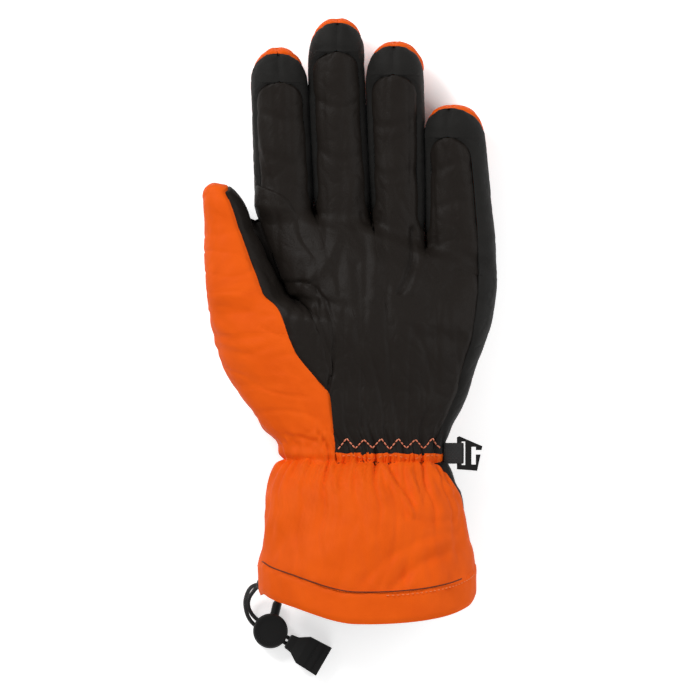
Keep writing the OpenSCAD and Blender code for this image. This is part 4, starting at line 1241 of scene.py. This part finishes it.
def stitches(name, starts, ends, normals, radius, material, turns=9, sides=8):
    """All stitches of one line as a single mesh."""
    t = even(turns)
    axis = ends - starts
    side = unit(np.cross(normals, axis))
    up = unit(np.cross(axis, side))
    profile = radius * np.maximum(1 - np.abs(2 * t - 1) ** 4, 0) ** 0.5
    centre = (starts[:, None] + axis[:, None] * t[None, :, None]
              + normals[:, None] * (radius * 1.6 * 4 * t * (1 - t) - radius * 0.6)[None, :, None])
    phi = np.linspace(0, 2 * np.pi, sides, endpoint=False)
    c, s = (way(phi)[:, None, None, None] for way in (np.cos, np.sin))
    ring = c * side[None, :, None] + s * up[None, :, None]
    P = centre[:, :, None] + np.moveaxis(ring, 0, 2) * profile[None, :, None, None]
    count = len(starts)
    i, j = np.meshgrid(np.arange(turns - 1), np.arange(sides), indexing="ij")
    a, b = i * sides + j, i * sides + (j + 1) % sides
    one = np.stack([a, b, b + sides, a + sides], -1).reshape(-1, 4)
    faces = (one[None] + (np.arange(count) * turns * sides)[:, None, None]).reshape(-1, 4)
    run = t[None, :, None] * 3 + np.arange(count)[:, None, None]
    uv = np.stack(np.broadcast_arrays(phi[None, None], run), -1)
    ob = mesh_from(name, P.reshape(-1, 3), None, uv.reshape(-1, 2), faces, material)
    print(f"{name}: {count} stitches")
    return ob

# %% Lines of thread
ZIG_X, ZIG_LOW, ZIG_HIGH, ZIG_STITCH = np.arange(-21.0, 33.0, 4.3), -59.0, -54.2, 0.29
ELASTIC_X, ELASTIC_Y, ELASTIC_STITCH = np.arange(-19.0, 30.0, 2.6), -63.2, 1.5
HEM_ANGLES, HEM_STITCH, HEM_INSET = np.arange(100.0, 166.0, 2.7), 1.6, 1.9

zig_y = np.where(np.arange(len(ZIG_X)) % 2 == 0, ZIG_LOW, ZIG_HIGH) + 0.35 * np.sin(ZIG_X)


def along_zigzag(share):
    """Points on the legs of the zigzag: every leg at the given shares of its length."""
    return [(c[:-1, None] + np.diff(c)[:, None] * share[None]).ravel() for c in (ZIG_X, zig_y)]


leg_starts = even(4)[:-1]
A, NA = palm_at(*along_zigzag(leg_starts), 0.25)
B, _ = palm_at(*along_zigzag(leg_starts + ZIG_STITCH), 0.25)
threads = [stitches("wrist_zigzag_thread", A, B, NA, 0.34, THREAD)]


def along_elastic(x, lift):
    return palm_at(x, ELASTIC_Y + 0.8 * np.sin(x * 0.3), lift)


A, NA = along_elastic(ELASTIC_X, 0.95)
B, _ = along_elastic(ELASTIC_X + ELASTIC_STITCH, 0.9)
threads.append(stitches("elastic_line_thread", A, B, NA, 0.17, PALE_THREAD))


def hem_stitch(a):
    ones = np.ones_like(a)
    P = cuff(ones, a, hem_line(a) + BAND_W - HEM_INSET, 0.75)
    N = unit(cuff(ones, a, hem_line(a) + BAND_W - HEM_INSET, 2.0) - P)
    return P, N


A, NA = hem_stitch(HEM_ANGLES)
B, _ = hem_stitch(HEM_ANGLES + HEM_STITCH)
threads.append(stitches("hem_seam_thread", A, B, NA, 0.2, PALE_THREAD))
# painted shade: a thin dark rod along the top of the hem band stands for the shadow line where the cuff tucks
# over it
ring_a = np.linspace(16.0, 150.0, 150)
ring_p = cuff(np.ones_like(ring_a), ring_a, hem_line(ring_a) + BAND_W + 0.05, 0.25)
threads.append(swept("hem_seam_shade_rod", ring_p, 0.3, 0.3, 2, SEAM_SHADE, 12))
for ob in threads:
    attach(ob, "hand")

# %% [markdown]
# ## Webbing, cord and hard trim
#
# A strap of webbing holds the clip that joins the pair of gloves. At the hem two strands
# of elastic cord leave their eyelets and run through the cord lock to a pull that the
# other hand can find in the cold.

# %% Webbing strap
BAR = np.array([39.5, WRIST_Y + 3.5, 27.0])
STRAP_FOLD, STRAP_HALF_W, STRAP_HALF_T, STRAP_ROOT = 1.9, 5.2, 0.42, 31.5

bend = np.linspace(np.pi / 2, -np.pi / 2, 15)
flat = np.linspace(STRAP_ROOT, BAR[0] - 0.5, 10)
strap_x = np.concatenate([flat, BAR[0] + STRAP_FOLD * np.cos(bend), flat[::-1]])
strap_z = BAR[2] + STRAP_FOLD * np.concatenate([np.ones(10), np.sin(bend), -np.ones(10)])
strap = np.stack([strap_x, np.full(len(strap_x), BAR[1]), strap_z], -1)
webbing = swept("webbing_strap", strap, STRAP_HALF_W, STRAP_HALF_T, 5, WEBBING)
print("strap:", len(webbing.data.vertices), "points")
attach(webbing, "hand")

# %% Where the cord runs
LOCK = np.array([-54.8, -150.6, 4.2])
CORD_DIR = np.array([math.cos(math.radians(-30)), math.sin(math.radians(-30)), 0])
CORD_SIDE = np.array([-CORD_DIR[1], CORD_DIR[0], 0])
EYELETS = [(-15.0, (-0.94, 0, -0.34)), (-27.0, (-0.76, 0, -0.65))]
CORD_D, CORD_PITCH, LOCK_D = 2.0, 3.0, 17.4

# %% Drawcord


def eyelet(k):
    a = np.array(EYELETS[k][0])
    return cuff(np.array(1.0), a, hem_line(a) + 5, 0.75)


def eased(route, steps=10):
    """Quadratic Bezier arcs between the middles of a route's legs."""
    r = np.array(route, float)
    out = []
    for i in range(1, len(r) - 1):
        a = r[0] if i == 1 else (r[i - 1] + r[i]) / 2
        c = r[-1] if i == len(r) - 2 else (r[i] + r[i + 1]) / 2
        t = np.linspace(0, 1, steps, endpoint=False)[:, None]
        out.append((1 - t) ** 2 * a + 2 * t * (1 - t) * r[i] + t * t * c)
    return np.concatenate(out + [r[-1:]])


def strand(k, middle):
    entry = LOCK + (-0.5 if k == 0 else 0.5) * CORD_PITCH * CORD_SIDE
    out, face = eyelet(k), np.array(EYELETS[k][1])
    mouth, inside = entry - (LOCK_D / 2 + 2.5) * CORD_DIR, entry - 6.5 * CORD_DIR
    return eased([out, out + 3.5 * face, *middle, mouth, inside])


ROUTES = [strand(0, [(-66, -130, 17), (-68, -137, 9)]),
          strand(1, [(-61.5, -128, 8.5), (-67, -136, 4.4)])]
for k, route in enumerate(ROUTES):
    cord = swept(f"drawcord_strand_{k + 1}", route, CORD_D / 2, CORD_D / 2, 2, CORD, 16)
    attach(cord, "hand")
    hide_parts("cord_loop")

# %% [markdown]
# ## The solids the shown pieces replace
#
# Each sewn piece stands for the plain solid it was drawn over, and the hard pieces keep
# their own exact solids with a moulded or drawn finish.

# %% Which solids are replaced
STANDS = {"palm": ["hand_palm_panel"], "band": ["hand_palm_panel"], "ulnar": ["hand_ulnar_sidewall"],
          "back": ["hand_back_panel"], "radial": ["hand_radial_sidewall"],
          "thenar": ["hand_thenar_panel"], "gusset": ["thumb_gusset"], "patch_low": ["index_base_patch"],
          "cuff_palm": ["cuff_palm_panel"], "cuff_back": ["cuff_back_panel"], "hem": ["hem_band"],
          "thumb_outer": ["thumb_outer_panel", "thumb_lining"], "thumb_inner": ["thumb_inner_panel"],
          "thumb_wedge": ["thumb_back_wedge"]}
INSIDE_STANDS = {"hand_fleece": "hand_lining", "cuff_fleece": "cuff_lining", "elastic": "wrist_elastic"}
for name in NAMES[INDEX:]:
    STANDS[f"{name}_palm"] = [f"{name}_palm_panel", f"{name}_lining"]
    STANDS[f"{name}_back"] = [f"{name}_back_panel"]
    STANDS[f"{name}_radial"] = [f"{name}_radial_sidewall"]
    STANDS[f"{name}_ulnar"] = [f"{name}_ulnar_sidewall"]
for key, nodes in STANDS.items():
    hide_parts(*nodes)
for key, node in INSIDE_STANDS.items():
    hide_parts(node)
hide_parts("webbing_loop")
print("pieces that replace solids:", len(STANDS) + len(INSIDE_STANDS) + 1)

# %% Finishes of the hard pieces
FINISH = {"hook_clip": PLASTIC, "cord_eyelets": PLASTIC, "cord_tails": CORD, "lock_body": PLASTIC,
          "lock_plunger": PLASTIC, "lock_spring": STEEL, "pull_shell": PLASTIC, "pull_core": PLASTIC}
for node, material in FINISH.items():
    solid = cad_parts[node]
    solid.data.materials.clear()
    solid.data.materials.append(material)
print("solids kept:", sorted(FINISH))
